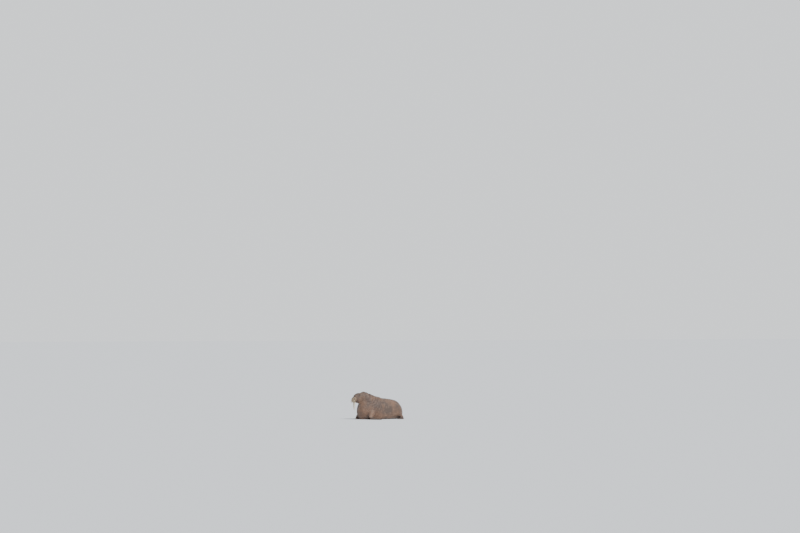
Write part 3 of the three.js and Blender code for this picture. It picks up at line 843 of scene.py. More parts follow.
# %% [markdown]
# ## Finer squares on the face
#
# The face has much smaller forms than the trunk: lids, nostrils, and the groove round each pad. Its squares
# are picked out by their place in the head and each divided in four. A light smoothing afterwards takes off
# the steps that dividing leaves.

# %% Divide the face
FACE_FROM, FACE_LOWEST = -0.11, -0.42  # ahead of the eyes and above them

face = head_places(points_of(skin))
divide_where(skin, np.flatnonzero((face[:, 0] > FACE_FROM) & (face[:, 2] > FACE_LOWEST)))
apply_modifier(skin, "SMOOTH", factor=0.4, iterations=2)
print(f"{len(skin.data.polygons)} faces after dividing the face")

# %% [markdown]
# ## Lines and places on the face
#
# Before the face is carved, the places of its forms are found on the skin itself. A ray that comes in from
# outside finds the points of each nostril's crescent and the pit of each ear. Two measures help: how near a
# point is to a line of points, and how far it is from the middle of the nearer whisker pad.

# %% Rays and measures
def onto_skin(spot, way, far=0.15):
    """Where a ray that starts outside and comes in against a unit direction meets the skin."""
    hit, normal, _, _ = skin_tree.ray_cast(spot + way * far, -way)
    return hit, normal


def near_line(places, line, wide):
    """1 on a line of points and falling away from it over a width."""
    best = np.full(len(places), 1e9)
    for a, b in zip(line[:-1], line[1:]):
        a, b = np.array(a), np.array(b)
        share = np.clip(((places - a) @ (b - a)) / ((b - a) @ (b - a)), 0, 1)
        best = np.minimum(best, ((places - a - share[:, None] * (b - a)) ** 2).sum(axis=1))
    return np.exp(-best / wide**2)


def pad_measure(places):
    """How many pad radii each point is from the nearer pad's middle."""
    ahead = (places[:, 0] - pad_ahead) / PAD_HALF[0]
    aside = (np.abs(places[:, 1]) - pad_out) / PAD_HALF[1]
    above = (places[:, 2] - pad_up) / PAD_HALF[2]
    return np.sqrt(ahead**2 + aside**2 + above**2)


skin_tree = tree_of(skin)
print(f"the skin under the middle of the nose is at {onto_skin(head_spot(pad_ahead, 0, 0), UP)[0].z:.3f} m")

# %% [markdown]
# ## Nostrils, eyes and ears
#
# A walrus closes its nostrils under water, and at rest they are two crescents. Its ears are only small
# pits, with no flap outside. The lines and spots are laid on the skin itself, so they can't float over it.

# %% Nostrils, eyes and ears
NOSTRIL_AHEAD, NOSTRIL_OUT = 0.046, 0.026  # ahead of the pads' middle, and out from the middle of the nose
NOSTRIL_LONG, NOSTRIL_BOW = 0.021, 0.010
NOSTRIL_SPLAY = 0.35  # how far out its lower end goes, as a share of its length
EYE_LOOKS = (0.86, 0.30, 0.40)  # out, ahead and up
EAR_AHEAD, EAR_UP = -0.105, -0.03  # of the eyes


def nostril_line(sign):
    """A crescent on the front of the snout, bowed outward and lower at its outer end."""
    look = (head_ahead * 0.75 + UP * 0.66).normalized()
    middle, normal = onto_skin(head_spot(pad_ahead + NOSTRIL_AHEAD, sign * NOSTRIL_OUT, 0.0), look)
    across = head_left - normal * head_left.dot(normal)
    across.normalize()
    down = across.cross(normal) * (1 if across.cross(normal).z < 0 else -1)
    line = []
    for t in np.linspace(-1, 1, 9):
        aside = sign * (NOSTRIL_BOW * (1 - t * t) + NOSTRIL_SPLAY * NOSTRIL_LONG * t)
        hit, _ = onto_skin(middle + across * aside + down * (NOSTRIL_LONG * t), normal)
        line.append(tuple(head_places(np.array([hit]))[0]))
    return line


def eye_outward(side):
    """The way an eye looks: out to its side, a little ahead and up."""
    out, ahead, up = EYE_LOOKS
    way = head_left * SIGNS[side] * out + head_ahead * ahead + UP * up
    return np.array(way.normalized())


def ear_spot(side):
    """A place on the skin behind and a little below each eye."""
    way = (head_left * SIGNS[side] + UP * 0.35).normalized()
    hit, _ = onto_skin(head_spot(EAR_AHEAD, 0, EAR_UP), way, far=0.6)
    return np.array(hit)


nostril_lines = [nostril_line(sign) for sign in SIGNS.values()]
ear_spots = {side: ear_spot(side) for side in eyes}
print(f"nostrils {max(p[2] for p in nostril_lines[0]):.3f} m above the eyes' middle at their tops")

# %% [markdown]
# ## Carving the face
#
# Each form of the face is a height that is added to the skin, and a painted shade that later darkens its
# crease: a groove behind each whisker pad and one between the two pads, the line of the mouth under them,
# two crescent nostrils with raised rims, a hollow for each eye, a small pit with a low rim for each ear, and
# soft wrinkles across the bridge of the nose. Writing them as heights keeps them sharp, and each can be
# changed alone.

# %% Forms of the face
# The mouth runs under the pads, from a corner round to the front: ahead of, out from and above the middle
# between the pads
MOUTH = ((-0.165, 0.118, -0.062), (-0.10, 0.115, -0.084), (-0.04, 0.092, -0.099), (0.015, 0.052, -0.106),
         (0.038, 0.0, -0.100))
NOSE_FOLD = 0.034  # from one wrinkle across the nose to the next


def pad_grooves(places):
    """The groove behind and over each pad, and the one between them from the nose down to the lip."""
    ring = np.exp(-(((pad_measure(places) - 1.05) / 0.055) ** 2))
    ring = ring * smooth_step(places[:, 0], pad_ahead - 0.12, pad_ahead - 0.07)
    ring *= 1 - smooth_step(places[:, 2], pad_up + 0.10, pad_up + 0.14)
    ring *= 1 - 0.8 * np.exp(-((np.abs(places[:, 1]) / 0.03) ** 2))
    split = np.exp(-((places[:, 1] / 0.0065) ** 2))
    split = split * smooth_step(places[:, 0], pad_ahead + 0.01, pad_ahead + 0.05)
    split *= 1 - smooth_step(places[:, 2], pad_up + 0.045, pad_up + 0.085)
    return [(-0.006 * ring, 0.6 * ring), (-0.010 * split, 0.8 * split)]


def mouth_and_nostrils(places):
    mirrored = places * (1, 0, 1) + np.abs(places) * (0, 1, 0)
    mouth = near_line(mirrored, [(pad_ahead + a, out, pad_up + up) for a, out, up in MOUTH], 0.0080)
    forms = [(-0.010 * mouth, mouth)]
    for line in nostril_lines:
        slit = near_line(places, line, 0.0052)
        rim = near_line(places, line, 0.015) - slit
        forms.append((0.0045 * np.clip(rim, 0, 1) - 0.017 * slit, 1.8 * slit))
    return forms


def nose_wrinkles(points, places):
    """Wrinkles across the bridge of the nose, and small lumps and lines all over the head."""
    across = places[:, 0] + 0.012 * lumps(points, 0.05, 21) + 0.25 * np.abs(places[:, 1])
    bridge = smooth_step(places[:, 0], 0.02, 0.07)
    bridge = bridge * (1 - smooth_step(places[:, 0], pad_ahead - 0.02, pad_ahead + 0.03))
    bridge *= smooth_step(places[:, 2], -0.10, 0.0)
    rows = valleys(across, NOSE_FOLD, 2)
    uneven = 0.0011 * lumps(points, 0.030, 22) - 0.0013 * wrinkles(points, 0.045, 23, 2.2)
    return [(-0.0022 * rows * bridge, 0.25 * rows * bridge), (uneven, 0)]


def eye_and_ear(points, side):
    """A hollow for an eye, and a pit with a low rim for an ear."""
    offset = points - np.array(eyes[side])
    depth = offset @ eye_outward(side)
    beside = np.sqrt(np.maximum((offset**2).sum(axis=1) - depth**2, 0))
    hollow = (1 - smooth_step(beside, eye_radius * 0.9, eye_radius * 1.5)) * (depth > -0.02)
    from_ear = ((points - ear_spots[side]) ** 2).sum(axis=1)
    pit, lobe = np.exp(-from_ear / 0.009**2), np.exp(-from_ear / 0.022**2)
    return [(-0.016 * hollow, 0), (0.006 * lobe - 0.018 * pit, 1.2 * pit)]


print(f"a mouth line of {len(MOUTH)} points on each side")

# %% [markdown]
# ## Adding the forms up
#
# The heights of all the forms are summed, and every point of the skin moves by its sum at once. So no form
# is bent by one that was carved before it.

# %% Carve the face
def carve_face(points):
    """How far each point of the head moves along its normal, and how dark the painted shade in its crease is.
    """
    places = head_places(points)
    forms = pad_grooves(places) + mouth_and_nostrils(places) + nose_wrinkles(points, places)
    for side in eyes:
        forms += eye_and_ear(points, side)
    height = sum(rise for rise, _ in forms)
    # the painted shade of the grooves, the mouth, the nostrils, the ear pits and the nose wrinkles
    shade = sum(dark for _, dark in forms)
    return height, np.clip(shade, 0, 1)


height, _ = carve_face(points_of(skin))
push_out(skin, height)
print(f"the face is carved up to {-height.min() * 1000:.0f} mm deep")

# %% [markdown]
# ## Flippers
#
# A flipper is a hand or a foot in a thick mitten of hide. Five long digits fan out from the wrist, with webs
# between them that sink a little, and the hide is creased over each joint and cracked all over. To draw
# them, each flipper gets two numbers of its own: how far out a point is from the wrist, and how far across.

# %% Axes of the flippers
FLIPPERS = ("fore_flipper_left", "fore_flipper_right", "hind_flipper_left", "hind_flipper_right")
EDGE_SAMPLES, STEPS = 13, 15  # points looked at on each edge of the solid, and steps from wrist to tip
HALF_STEP = 0.03


class FlipperAxes:
    """How far out and across a flipper points are, measured on its solid."""

    def __init__(self, name):
        mesh = nodes[name].data
        ends = np.array([[mesh.vertices[k].co for k in edge.vertices] for edge in mesh.edges])[:, :, :2]
        shares = np.linspace(0, 1, EDGE_SAMPLES)
        flat = np.concatenate([ends[:, 0] * (1 - t) + ends[:, 1] * t for t in shares])
        self.middle = flat.mean(0)
        _, _, axes = np.linalg.svd(flat - self.middle, full_matrices=False)
        self.way = axes[0] * np.sign(axes[0, 0] * self.middle[0])
        self.aside = np.array([-self.way[1], self.way[0]])
        out = (flat - self.middle) @ self.way
        side = (flat - self.middle) @ self.aside
        self.start, self.long = out.min(), out.max() - out.min()
        self.steps = np.linspace(0, 1, STEPS)
        near = [np.abs((out - self.start) / self.long - step) < HALF_STEP for step in self.steps]
        self.low = np.array([side[n].min() for n in near])
        self.high = np.array([side[n].max() for n in near])

    def edges(self, out):
        """Where the two side edges are, at a share of the way from the wrist to the tips."""
        return np.interp(out, self.steps, self.low), np.interp(out, self.steps, self.high)

    def measure(self, points):
        """0 at the wrist to 1 at the tips, and 0 to 1 from one edge to the other."""
        flat = points[:, :2] - self.middle
        out = (flat @ self.way - self.start) / self.long
        low, high = self.edges(out)
        return out, (flat @ self.aside - low) / (high - low)

    def spot(self, out, across):
        """The place on the floor plan for the two numbers."""
        low, high = self.edges(out)
        ahead = self.middle + self.way * (self.start + out * self.long)
        flat = ahead + self.aside * (low + across * (high - low))
        return Vector((flat[0], flat[1], 0))


flipper_axes = {name: FlipperAxes(name) for name in FLIPPERS}
print("flippers", [round(axes.long, 2) for axes in flipper_axes.values()], "m long")

# %% [markdown]
# ## Which points are on a flipper
#
# The digits may not run on over the belly or up the arm. A share of 1 on the flipper, fading to 0 at the
# wrist, keeps every line that follows where it belongs.

# %% Which points are on a flipper
FLIPPER_REACH = 0.36  # no flipper's point is farther than this from its middle, along X or Y
FLIPPER_TOP, FLIPPER_NEAREST = 0.17, 0.33  # above the floor, and from the animal's middle


def flipper_share(points):
    """1 on the four flippers and 0 on the rest, with a soft edge at the wrists."""
    total = np.zeros(len(points))
    for name, axes in flipper_axes.items():
        low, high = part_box(name)
        middle = (np.array(low) + np.array(high))[:2] / 2
        region = np.flatnonzero(
            (points[:, 2] < FLIPPER_TOP)
            & (np.abs(points[:, :2] - middle) < FLIPPER_REACH).all(axis=1)
            & (np.sign(points[:, 0]) == np.sign(axes.middle[0]))
            & (np.abs(points[:, 0]) > FLIPPER_NEAREST)
        )
        out, across = axes.measure(points[region])
        share = smooth_step(out, 0.06, 0.26) * (1 - smooth_step(points[region, 2], 0.09, 0.15))
        share *= (out < 1.15) * smooth_step(across, -0.30, -0.12) * (1 - smooth_step(across, 1.12, 1.30))
        total[region] = np.maximum(total[region], share)
    return total


print(f"{int((flipper_share(points_of(skin)) > 0.5).sum())} points on the flippers")

# %% [markdown]
# ## Digits and cracked hide
#
# A cosine across the flipper gives five rounded digits with webs between them. Lines across it are the
# creases over the joints. Thin winding valleys crack the upper side, as on an old leather glove.

# %% Digits and cracked hide on the flippers
DIGITS = 5
WEB_DEPTH = 0.011
JOINTS = (0.52, 0.70, 0.86)  # shares of the flipper's length
BEND_DEPTH, KNUCKLE_HEIGHT = 0.0030, 0.0025
BEND_HALF, KNUCKLE_HALF = 0.012, 0.045  # how wide they are, as shares of the flipper's length
DEEPEST = 0.30  # share of its height that a point may sink, so that nothing goes through to the sole


def digit_relief(axes, points):
    """Digits, webs and creased joints of one flipper: a height, and how deep in a crease each point is, for
    its painted shade.
    """
    out, across = axes.measure(points)
    web = (0.5 + 0.5 * np.cos(2 * math.pi * DIGITS * np.clip(across, 0, 1))) ** 1.5
    inside = smooth_step(out, 0.25, 0.75) * smooth_step(across, 0.04, 0.12)
    web *= inside * (1 - smooth_step(across, 0.88, 0.96))
    bow = out + 0.05 * (2 * across - 1) ** 2 + 0.012 * lumps(points, 0.04, 34)
    bend = sum(np.exp(-(((bow - joint) / BEND_HALF) ** 2)) for joint in JOINTS)
    knuckle = sum(np.exp(-(((bow - joint) / KNUCKLE_HALF) ** 2)) for joint in JOINTS)
    rise = -WEB_DEPTH * web + KNUCKLE_HEIGHT * knuckle * (1 - web) - BEND_DEPTH * bend
    return rise, 0.7 * web + 0.5 * bend


def flipper_relief(points):
    """Digits, cracks and warts of all flippers: how far each point moves, and how deep in a crease it is, for
    its painted shade.
    """
    share = flipper_share(points)
    chosen = np.flatnonzero(share > 0)
    near = points[chosen]
    height, depth = np.zeros(len(near)), np.zeros(len(near))
    for axes in flipper_axes.values():
        mine = np.sign(near[:, 0]) == np.sign(axes.middle[0])
        mine &= np.abs(near[:, 1] - axes.middle[1]) < FLIPPER_REACH
        rise, crease_shade = digit_relief(axes, near)
        height += np.where(mine, rise, 0)
        depth += np.where(mine, crease_shade, 0)
    cracked = wrinkles(near * (1, 1, 0.5), 0.026, 31, 2.2)
    height += -0.0022 * cracked - 0.0010 * wrinkles(near, 0.013, 32, 2.0) + 0.0012 * lumps(near, 0.020, 33)
    all_height, all_depth = np.zeros(len(points)), np.zeros(len(points))
    all_height[chosen] = height * share[chosen]
    # how deep in the webs, bends and cracks each point is, which is painted as shade later
    all_depth[chosen] = (depth + 0.6 * cracked) * share[chosen]
    return all_height, all_depth


points = points_of(skin)
height, _ = flipper_relief(points)
upper = smooth_step(normals_of(skin)[:, 2], 0.0, 0.5)  # the soles get a quarter of it
height = np.maximum(height * (0.25 + 0.75 * upper), -DEEPEST * points[:, 2])
push_out(skin, height)
print(f"digits up to {-height.min() * 1000:.0f} mm apart in height from their webs")

# %% [markdown]
# ## Resting on the floor, and fewer triangles
#
# The belly and the soles are pressed flat, so no point may be below the floor. Then the Decimate modifier
# takes out the triangles that the shape doesn't need. It keeps them where the form turns sharply, as on the
# face and in the folds, and spends few on the broad flanks. The flippers' low rims are so small that it would
# chew them ragged, so a vertex group keeps it off them.

# %% Settle the skin and thin its mesh
SKIN_TRIANGLES = 186000
LIFT = 0.0008  # the skin stays this far above the floor
STEEP = 0.75  # a flipper's point whose normal is less upright than this is on its rim

points = points_of(skin)
points[:, 2] = np.maximum(points[:, 2], LIFT)
put_points(skin, points)
triangles = triangles_of(skin)
if triangles > SKIN_TRIANGLES:
    rim = (flipper_share(points) > 0.2) & (np.abs(normals_of(skin)[:, 2]) < STEEP)
    weigh(skin, "thin_freely", np.where(rim, 0.0, 1.0))
    keep = dict(vertex_group="thin_freely", vertex_group_factor=1.0)
    apply_modifier(skin, "DECIMATE", ratio=SKIN_TRIANGLES / triangles, **keep)
skin.vertex_groups.clear()
make_active(skin)
bpy.ops.object.shade_smooth()
print(f"{triangles} triangles thinned to {triangles_of(skin)}")

# %% [markdown]
# ## What the paint needs to know
#
# The hide's colour follows its form: creases are painted darker, as shade, and a little pink, bosses are
# pale, flippers are dark. So each point gets these shares as named attributes, which the material reads. One
# more attribute holds the body coordinates, so that the fine cracks can run round the body as real ones do.

# %% Attributes for the paint
GIRTH = 0.45  # metres for each radian round the body


def write_attribute(obj, name, values):
    """A number for each point of the mesh."""
    made = obj.data.attributes.new(name, "FLOAT", "POINT")
    made.data.foreach_set("value", values.astype(np.float32))


def dress(obj):
    """Writes the attributes that the hide material reads."""
    points = points_of(obj)
    along, around = body_coordinates(points)
    _, crease_shade = relief(points, along, around)
    _, shade = carve_face(points)
    # how deep in the flippers' webs, bends and cracks each point is, for their painted shade
    _, cracks = flipper_relief(points)
    # the painted shade of the body's creases, of the face's grooves and of the flippers' webs and cracks, as
    # one share
    crease_shade = np.clip(crease_shade * (1 - head_share(along)) + shade + 0.5 * cracks, 0, 1)
    write_attribute(obj, "crease_shade", crease_shade)
    write_attribute(obj, "boss", boss_share(points))
    write_attribute(obj, "flipper", flipper_share(points))
    write_attribute(obj, "muzzle", 1 - smooth_step(pad_measure(head_places(points)), 0.95, 1.15))
    flow = obj.data.attributes.new("flow", "FLOAT_VECTOR", "POINT")
    rolled_out = np.column_stack([along, around * GIRTH, np.zeros(len(points))])
    flow.data.foreach_set("vector", rolled_out.astype(np.float32).ravel())


dress(skin)
print("attributes:", ", ".join(a.name for a in skin.data.attributes if not a.name.startswith(".")))

# %% [markdown]
# ## A small kit for materials
#
# A material is a tree of nodes. These short functions each add one kind of node, set its inputs or link them,
# and hand back its output, so that a finish can be read as a few lines from its first pattern to the shader.

# %% Nodes
def feed(material, socket, value):
    """Sets an input to a plain value, or links it to another node's output."""
    if isinstance(value, bpy.types.NodeSocket):
        material.node_tree.links.new(value, socket)
    else:
        socket.default_value = value


def add_node(material, kind, values, **settings):
    """A shader node with its settings, and with values for its inputs or links into them."""
    node = material.node_tree.nodes.new(kind)
    for name, value in settings.items():
        setattr(node, name, value)
    for name, value in values.items():
        feed(material, node.inputs[name], value)
    return node


def new_material(name):
    material = bpy.data.materials.new(name)
    material.use_nodes = True
    return material


def finish(material, **values):
    """Sets or links inputs of the material's shader, named with _ for each space."""
    for name, value in values.items():
        feed(material, material.node_tree.nodes["Principled BSDF"].inputs[name.replace("_", " ")], value)


def attribute(material, name, output="Fac"):
    return add_node(material, "ShaderNodeAttribute", {}, attribute_name=name).outputs[output]


def stretch(material, places, scale):
    return add_node(material, "ShaderNodeMapping", {"Vector": places, "Scale": scale}).outputs[0]


def object_places(material, scale=(1, 1, 1)):
    """Object coordinates, stretched."""
    return stretch(material, add_node(material, "ShaderNodeTexCoord", {}).outputs["Object"], scale)


print("nodes can be added")

# %% [markdown]
# ## Patterns and sums
#
# Noise gives clouds, and cells give dots, pebbles and cracks. Sums and stretches turn a pattern into a
# share, and a share blends two colours or sets a roughness.

# %% Patterns and sums
def noise_node(material, places, scale, detail, rough=0.55):
    values = {"Vector": places, "Scale": scale, "Detail": detail, "Roughness": rough}
    return add_node(material, "ShaderNodeTexNoise", values).outputs["Fac"]


def cell_node(material, places, scale, output="Distance", **settings):
    values = {"Vector": places, "Scale": scale}
    return add_node(material, "ShaderNodeTexVoronoi", values, **settings).outputs[output]


def between(material, value, low, high):
    """A value stretched so that low becomes 0 and high becomes 1."""
    values = {"Value": value, "From Min": low, "From Max": high}
    return add_node(material, "ShaderNodeMapRange", values, clamp=True).outputs["Result"]


def spread(material, value, low, high):
    """A share stretched so that 0 becomes low and 1 becomes high."""
    values = {"Value": value, "To Min": low, "To Max": high}
    return add_node(material, "ShaderNodeMapRange", values).outputs["Result"]


def maths(material, how, first, second):
    return add_node(material, "ShaderNodeMath", {0: first, 1: second}, operation=how).outputs[0]


def vector_maths(material, how, first, second):
    return add_node(material, "ShaderNodeVectorMath", {0: first, 1: second}, operation=how).outputs[0]


def blend(material, share, first, second, how="MIX"):
    """Two colours mixed by a share."""
    values = {0: share, 6: first, 7: second}
    return add_node(material, "ShaderNodeMix", values, data_type="RGBA", blend_type=how).outputs[2]


def tint(material, share, strength, colour, tone):
    """A colour with a tone laid over it, as strong as a share of the strength."""
    return blend(material, maths(material, "MULTIPLY", share, strength), colour, tone)


def bumps(material, *layers):
    """Fine relief in layers, each with its height, strength and distance."""
    normal = None
    for height, strength, distance in layers:
        values = {"Height": height, "Strength": strength, "Distance": distance}
        if normal:
            values["Normal"] = normal
        normal = add_node(material, "ShaderNodeBump", values).outputs[0]
    return normal


print("the material kit is ready")

# %% [markdown]
# ## The hide's colour
#
# A walrus is cinnamon brown to grey, paler where the hide is worn and dry, with darker flippers. Large soft
# patches come first, then blotches, then a fine speckle, and a dark dot of painted shade in the pit at the
# root of each whisker. The creases are darkened with painted shade, a little pink. The bump is made in
# several sizes: long wrinkles and cracks that run round the body, small pebbles, and a fine grain that
# stands for the short stiff hair.

# %% Hide colours
CINNAMON = (0.205, 0.115, 0.072, 1)
GREY_BROWN = (0.098, 0.068, 0.053, 1)
WORN = (0.290, 0.200, 0.145, 1)
# painted shade, dark and a little pink, for the creases and for the pits at the whisker roots
CREASE_SHADE = (0.070, 0.034, 0.026, 1)
BOSS_PALE = (0.350, 0.250, 0.190, 1)
FLIPPER_DARK = (0.062, 0.044, 0.036, 1)
MUZZLE_TAN = (0.275, 0.190, 0.130, 1)
SPECKLE = (0.80, 1.12)  # the darkest and the palest speckle, as a share of the colour under it


def hide_colour(material, places, blotches, roots):
    """The colour of the hide, from its large patches to its speckle, with painted shade in its creases and
    whisker pits.
    """
    patches = between(material, noise_node(material, places, 2.3, 3.0), 0.38, 0.64)
    colour = blend(material, patches, GREY_BROWN, CINNAMON)
    colour = tint(material, blotches, 0.55, colour, WORN)
    colour = tint(material, attribute(material, "muzzle"), 0.6, colour, MUZZLE_TAN)
    # a dot of painted shade in the pit at the root of each whisker
    colour = tint(material, roots, 0.7, colour, CREASE_SHADE)
    colour = tint(material, attribute(material, "boss"), 0.20, colour, BOSS_PALE)
    colour = tint(material, attribute(material, "flipper"), 0.85, colour, FLIPPER_DARK)
    # painted shade in the creases of the body, the face and the flippers, a little pink
    colour = tint(material, attribute(material, "crease_shade"), 0.75, colour, CREASE_SHADE)
    speckle = between(material, noise_node(material, places, 120.0, 3.0, 0.6), 0.30, 0.72)
    return blend(material, 1.0, colour, spread(material, speckle, *SPECKLE), "MULTIPLY")


print("creases are", [round(dark / pale, 2) for dark, pale in zip(CREASE_SHADE[:3], CINNAMON[:3])], "of the colour")

# %% [markdown]
# ## Cracks, pebbles and grain
#
# The finest relief is a bump, because as real points it would take millions. The cracks read the body
# coordinates, bent a little, so that they run round the neck and belly as the folds do.

# %% Cracks, pebbles and grain
WRINKLE_SCALE, CRACK_SCALE = (30, 9, 1), (75, 60, 1)  # along the body and round it, in cells for each metre
BEND_LESS, BEND_BY = (0.020, 0.035, 0), (0.05, 0.09, 0.0)  # how the cracks stray from straight lines


def hide_bumps(material, places, roots):
    """Fine relief of the hide, the largest first."""
    flow = attribute(material, "flow", "Vector")
    wander = add_node(material, "ShaderNodeTexNoise", {"Vector": places, "Scale": 11.0, "Detail": 3.0})
    bend = vector_maths(material, "MULTIPLY", wander.outputs["Color"], BEND_BY)
    bent = vector_maths(material, "ADD", vector_maths(material, "ADD", flow, BEND_LESS), bend)
    ridges = add_node(
        material,
        "ShaderNodeTexNoise",
        {"Vector": stretch(material, bent, WRINKLE_SCALE), "Scale": 1.0, "Detail": 3.0},
        noise_type="RIDGED_MULTIFRACTAL",
        noise_dimensions="2D",
    )
    flat = dict(feature="DISTANCE_TO_EDGE", voronoi_dimensions="2D")
    cracks = cell_node(material, stretch(material, bent, CRACK_SCALE), 1.0, **flat)
    pebbles = cell_node(material, places, 110.0, feature="SMOOTH_F1")
    return bumps(
        material,
        (between(material, ridges.outputs["Fac"], 1.5, 0.2), 0.80, 0.0050),
        (between(material, cracks, 0.0, 0.22), 0.38, 0.0018),
        (between(material, pebbles, 0.55, 0.1), 0.30, 0.0016),
        (noise_node(material, places, 420.0, 3.0), 0.30, 0.0008),
        (maths(material, "SUBTRACT", 1.0, roots), 0.60, 0.0015),
    )


print(f"cracks {1000 / CRACK_SCALE[0]:.0f} mm apart")

# %% [markdown]
# ## The hide as a whole
#
# Worn blotches are a little rougher than the rest, and the whole hide has a faint sheen, from its short
# hair. The skin then takes the place of all the flesh solids.

# %% Paint the skin
def hide_material():
    material = new_material("hide")
    places = object_places(material)
    blotches = between(material, noise_node(material, places, 9.0, 6.0, 0.62), 0.52, 0.74)
    dots = add_node(material, "ShaderNodeTexVoronoi", {"Vector": places, "Scale": 78.0, "Randomness": 0.6})
    dots = between(material, dots.outputs["Distance"], 0.26, 0.12)
    # pits at the whisker roots: their dots are dented in the bump and darkened with painted shade in the
    # colour
    roots = maths(material, "MULTIPLY", dots, attribute(material, "muzzle"))
    finish(
        material,
        Base_Color=hide_colour(material, places, blotches, roots),
        Roughness=spread(material, blotches, 0.58, 0.78),
        Specular_IOR_Level=0.35,
        Sheen_Weight=0.12,
        Sheen_Roughness=0.5,
        Normal=hide_bumps(material, places, roots),
    )
    return material


hide = hide_material()
skin.data.materials.clear()
skin.data.materials.append(hide)
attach(skin, "root")
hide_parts(*flesh)
print("the skin is painted with", len(hide.node_tree.nodes), "nodes")

# %% [markdown]
# ## Eyes
#
# A walrus has small dark eyes that bulge a little, set high and wide on the head. Each is a ball with a
# slight cornea in front: the ball's points near the way it looks are pulled out. The iris is almost black
# brown, and a clear coat gives the wet shine.

# %% Eyeballs
CORNEA = 0.0022  # how far the cornea stands out
EYE_SHRINK = 0.985  # the ball stays this much inside its solid
EYE_RIM = (0.20, 0.10, 0.075, 1)
IRIS = (0.030, 0.014, 0.008, 1)
PUPIL = (0.004, 0.003, 0.003, 1)


def eye_material():
    material = new_material("wet_eye")
    share = attribute(material, "iris")
    colour = blend(material, between(material, share, 0.52, 0.60), EYE_RIM, IRIS)
    colour = blend(material, between(material, share, 0.80, 0.86), colour, PUPIL)
    veins = noise_node(material, object_places(material), 400.0, 3.0)
    normal = bumps(material, (veins, 0.05, 0.0003))
    finish(material, Base_Color=colour, Roughness=0.12, Coat_Weight=1.0, Coat_Roughness=0.03, Normal=normal)
    return material


wet_eye = eye_material()
for side, centre in eyes.items():
    clear_selection()
    radius = eye_radius * EYE_SHRINK
    bpy.ops.mesh.primitive_uv_sphere_add(segments=48, ring_count=32, radius=radius, location=centre)
    eyeball = bpy.context.object
    eyeball.name = "eyeball_" + side
    bpy.ops.object.transform_apply(location=True, rotation=True, scale=True)
    points = points_of(eyeball)
    outward = eye_outward(side)
    facing = ((points - np.array(centre)) / eye_radius) @ outward
    put_points(eyeball, points + outward * (CORNEA * smooth_step(facing, 0.80, 0.97))[:, None])
    write_attribute(eyeball, "iris", facing)
    bpy.ops.object.shade_smooth()
    eyeball.data.materials.append(wet_eye)
    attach(eyeball, "root")
    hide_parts("eye_" + side)
    print(eyeball.name, len(eyeball.data.polygons), "faces")

# %% [markdown]
# ## Eyelids
#
# The lids are a ring of wrinkled hide. Its inner edge is the almond of the open eye, lying close on the ball,
# and its outer part runs out along the skin and sinks just under it, so that no edge shows. The ring is laid
# out as a grid: steps round the eye by steps outward. For each step the place on the ball and the places on
# the skin are known, and the lid passes from one to the other with a rounded edge and two soft wrinkles.

# %% The grid of the lids
LID_ROUND, LID_OUT = 72, 15  # steps round the eye and outward
OPEN_WIDE, OPEN_HIGH = 0.0185, 0.0100  # half sizes of the opening
UPPER_DROOP = 0.0015  # the upper lid hangs this much lower
CORNER_PULL = 1.06  # the corners of the eye are drawn out by this
LID_CLEAR = 0.0006  # between the ball and the lid
LID_EDGE = 0.0035  # thickness of the lid's margin
LID_FOLD = 0.0016
LID_SUNK = 0.0012  # how far the lid stands over the hide at first, and then goes under it
LID_MEETS, LID_REACH = 0.041, 0.052  # the lids meet the hide at the first radius and end at the second
LID_JOIN = 0.72  # share of the steps outward that lie before the hide


def lid_opening(side, angle):
    """A point of the lid's edge, and the two places where the lid is on the hide."""
    outward = Vector(eye_outward(side))
    along_lid = UP.cross(outward).normalized()
    above = outward.cross(along_lid).normalized()
    high = OPEN_HIGH - (UPPER_DROOP if math.sin(angle) > 0 else 0.0)
    x = OPEN_WIDE * math.cos(angle) * (1 if abs(math.cos(angle)) < 0.9 else CORNER_PULL)
    y = high * math.copysign(abs(math.sin(angle)) ** 1.15, math.sin(angle))
    flat = along_lid * x + above * y
    lift = math.sqrt(max((eye_radius + LID_CLEAR) ** 2 - x * x - y * y, 0))
    edge = eyes[side] + flat + outward * lift
    way = flat.normalized()
    return edge, [onto_skin(eyes[side] + way * reach, outward)[0] for reach in (LID_MEETS, LID_REACH)]


def lid_line(side, angle, t):
    """The plain line of the lid, from the opening's edge at 0 to its end under the hide at 1."""
    edge, (meets, ends) = lid_opening(side, angle)
    if t >= LID_JOIN:
        return meets.lerp(ends, (t - LID_JOIN) / (1 - LID_JOIN))
    u = t / LID_JOIN
    level = meets + (meets - ends) * 1.1  # the hide's own slope, carried on inward
    return edge * (1 - u) ** 2 + level * (2 * u * (1 - u)) + meets * u**2


def lid_spot(side, angle, t):
    """A point of the lid, with its rounded margin and its wrinkles, and never inside the ball."""
    outward, centre = Vector(eye_outward(side)), eyes[side]
    margin = LID_EDGE * math.sqrt(min(1, t * 7)) * (1 - smooth_step(t, 0.3, 0.8))
    folds = LID_FOLD * math.sin(t * 17 + 0.8 * math.sin(angle)) * max(0, 0.8 - t) * (t > 0.16)
    spot = lid_line(side, angle, t)
    spot += outward * (LID_SUNK * (1 - smooth_step(t, LID_JOIN - 0.1, 1.0) * 2.2))
    from_centre = spot - centre
    shortest = eye_radius + LID_CLEAR + margin + folds
    if from_centre.length < shortest:
        return centre + from_centre.normalized() * shortest
    return spot + outward * (margin + folds)


print(f"each lid has {LID_ROUND * LID_OUT} points")

# %% [markdown]
# ## Laying the lids
#
# The grid's points are put down ring by ring, the faces join each ring to the next, and Solidify gives the
# sheet a thickness. The lids wear the same hide as the skin, so the join doesn't show.

# %% Lids
LID_THICK = 0.0012


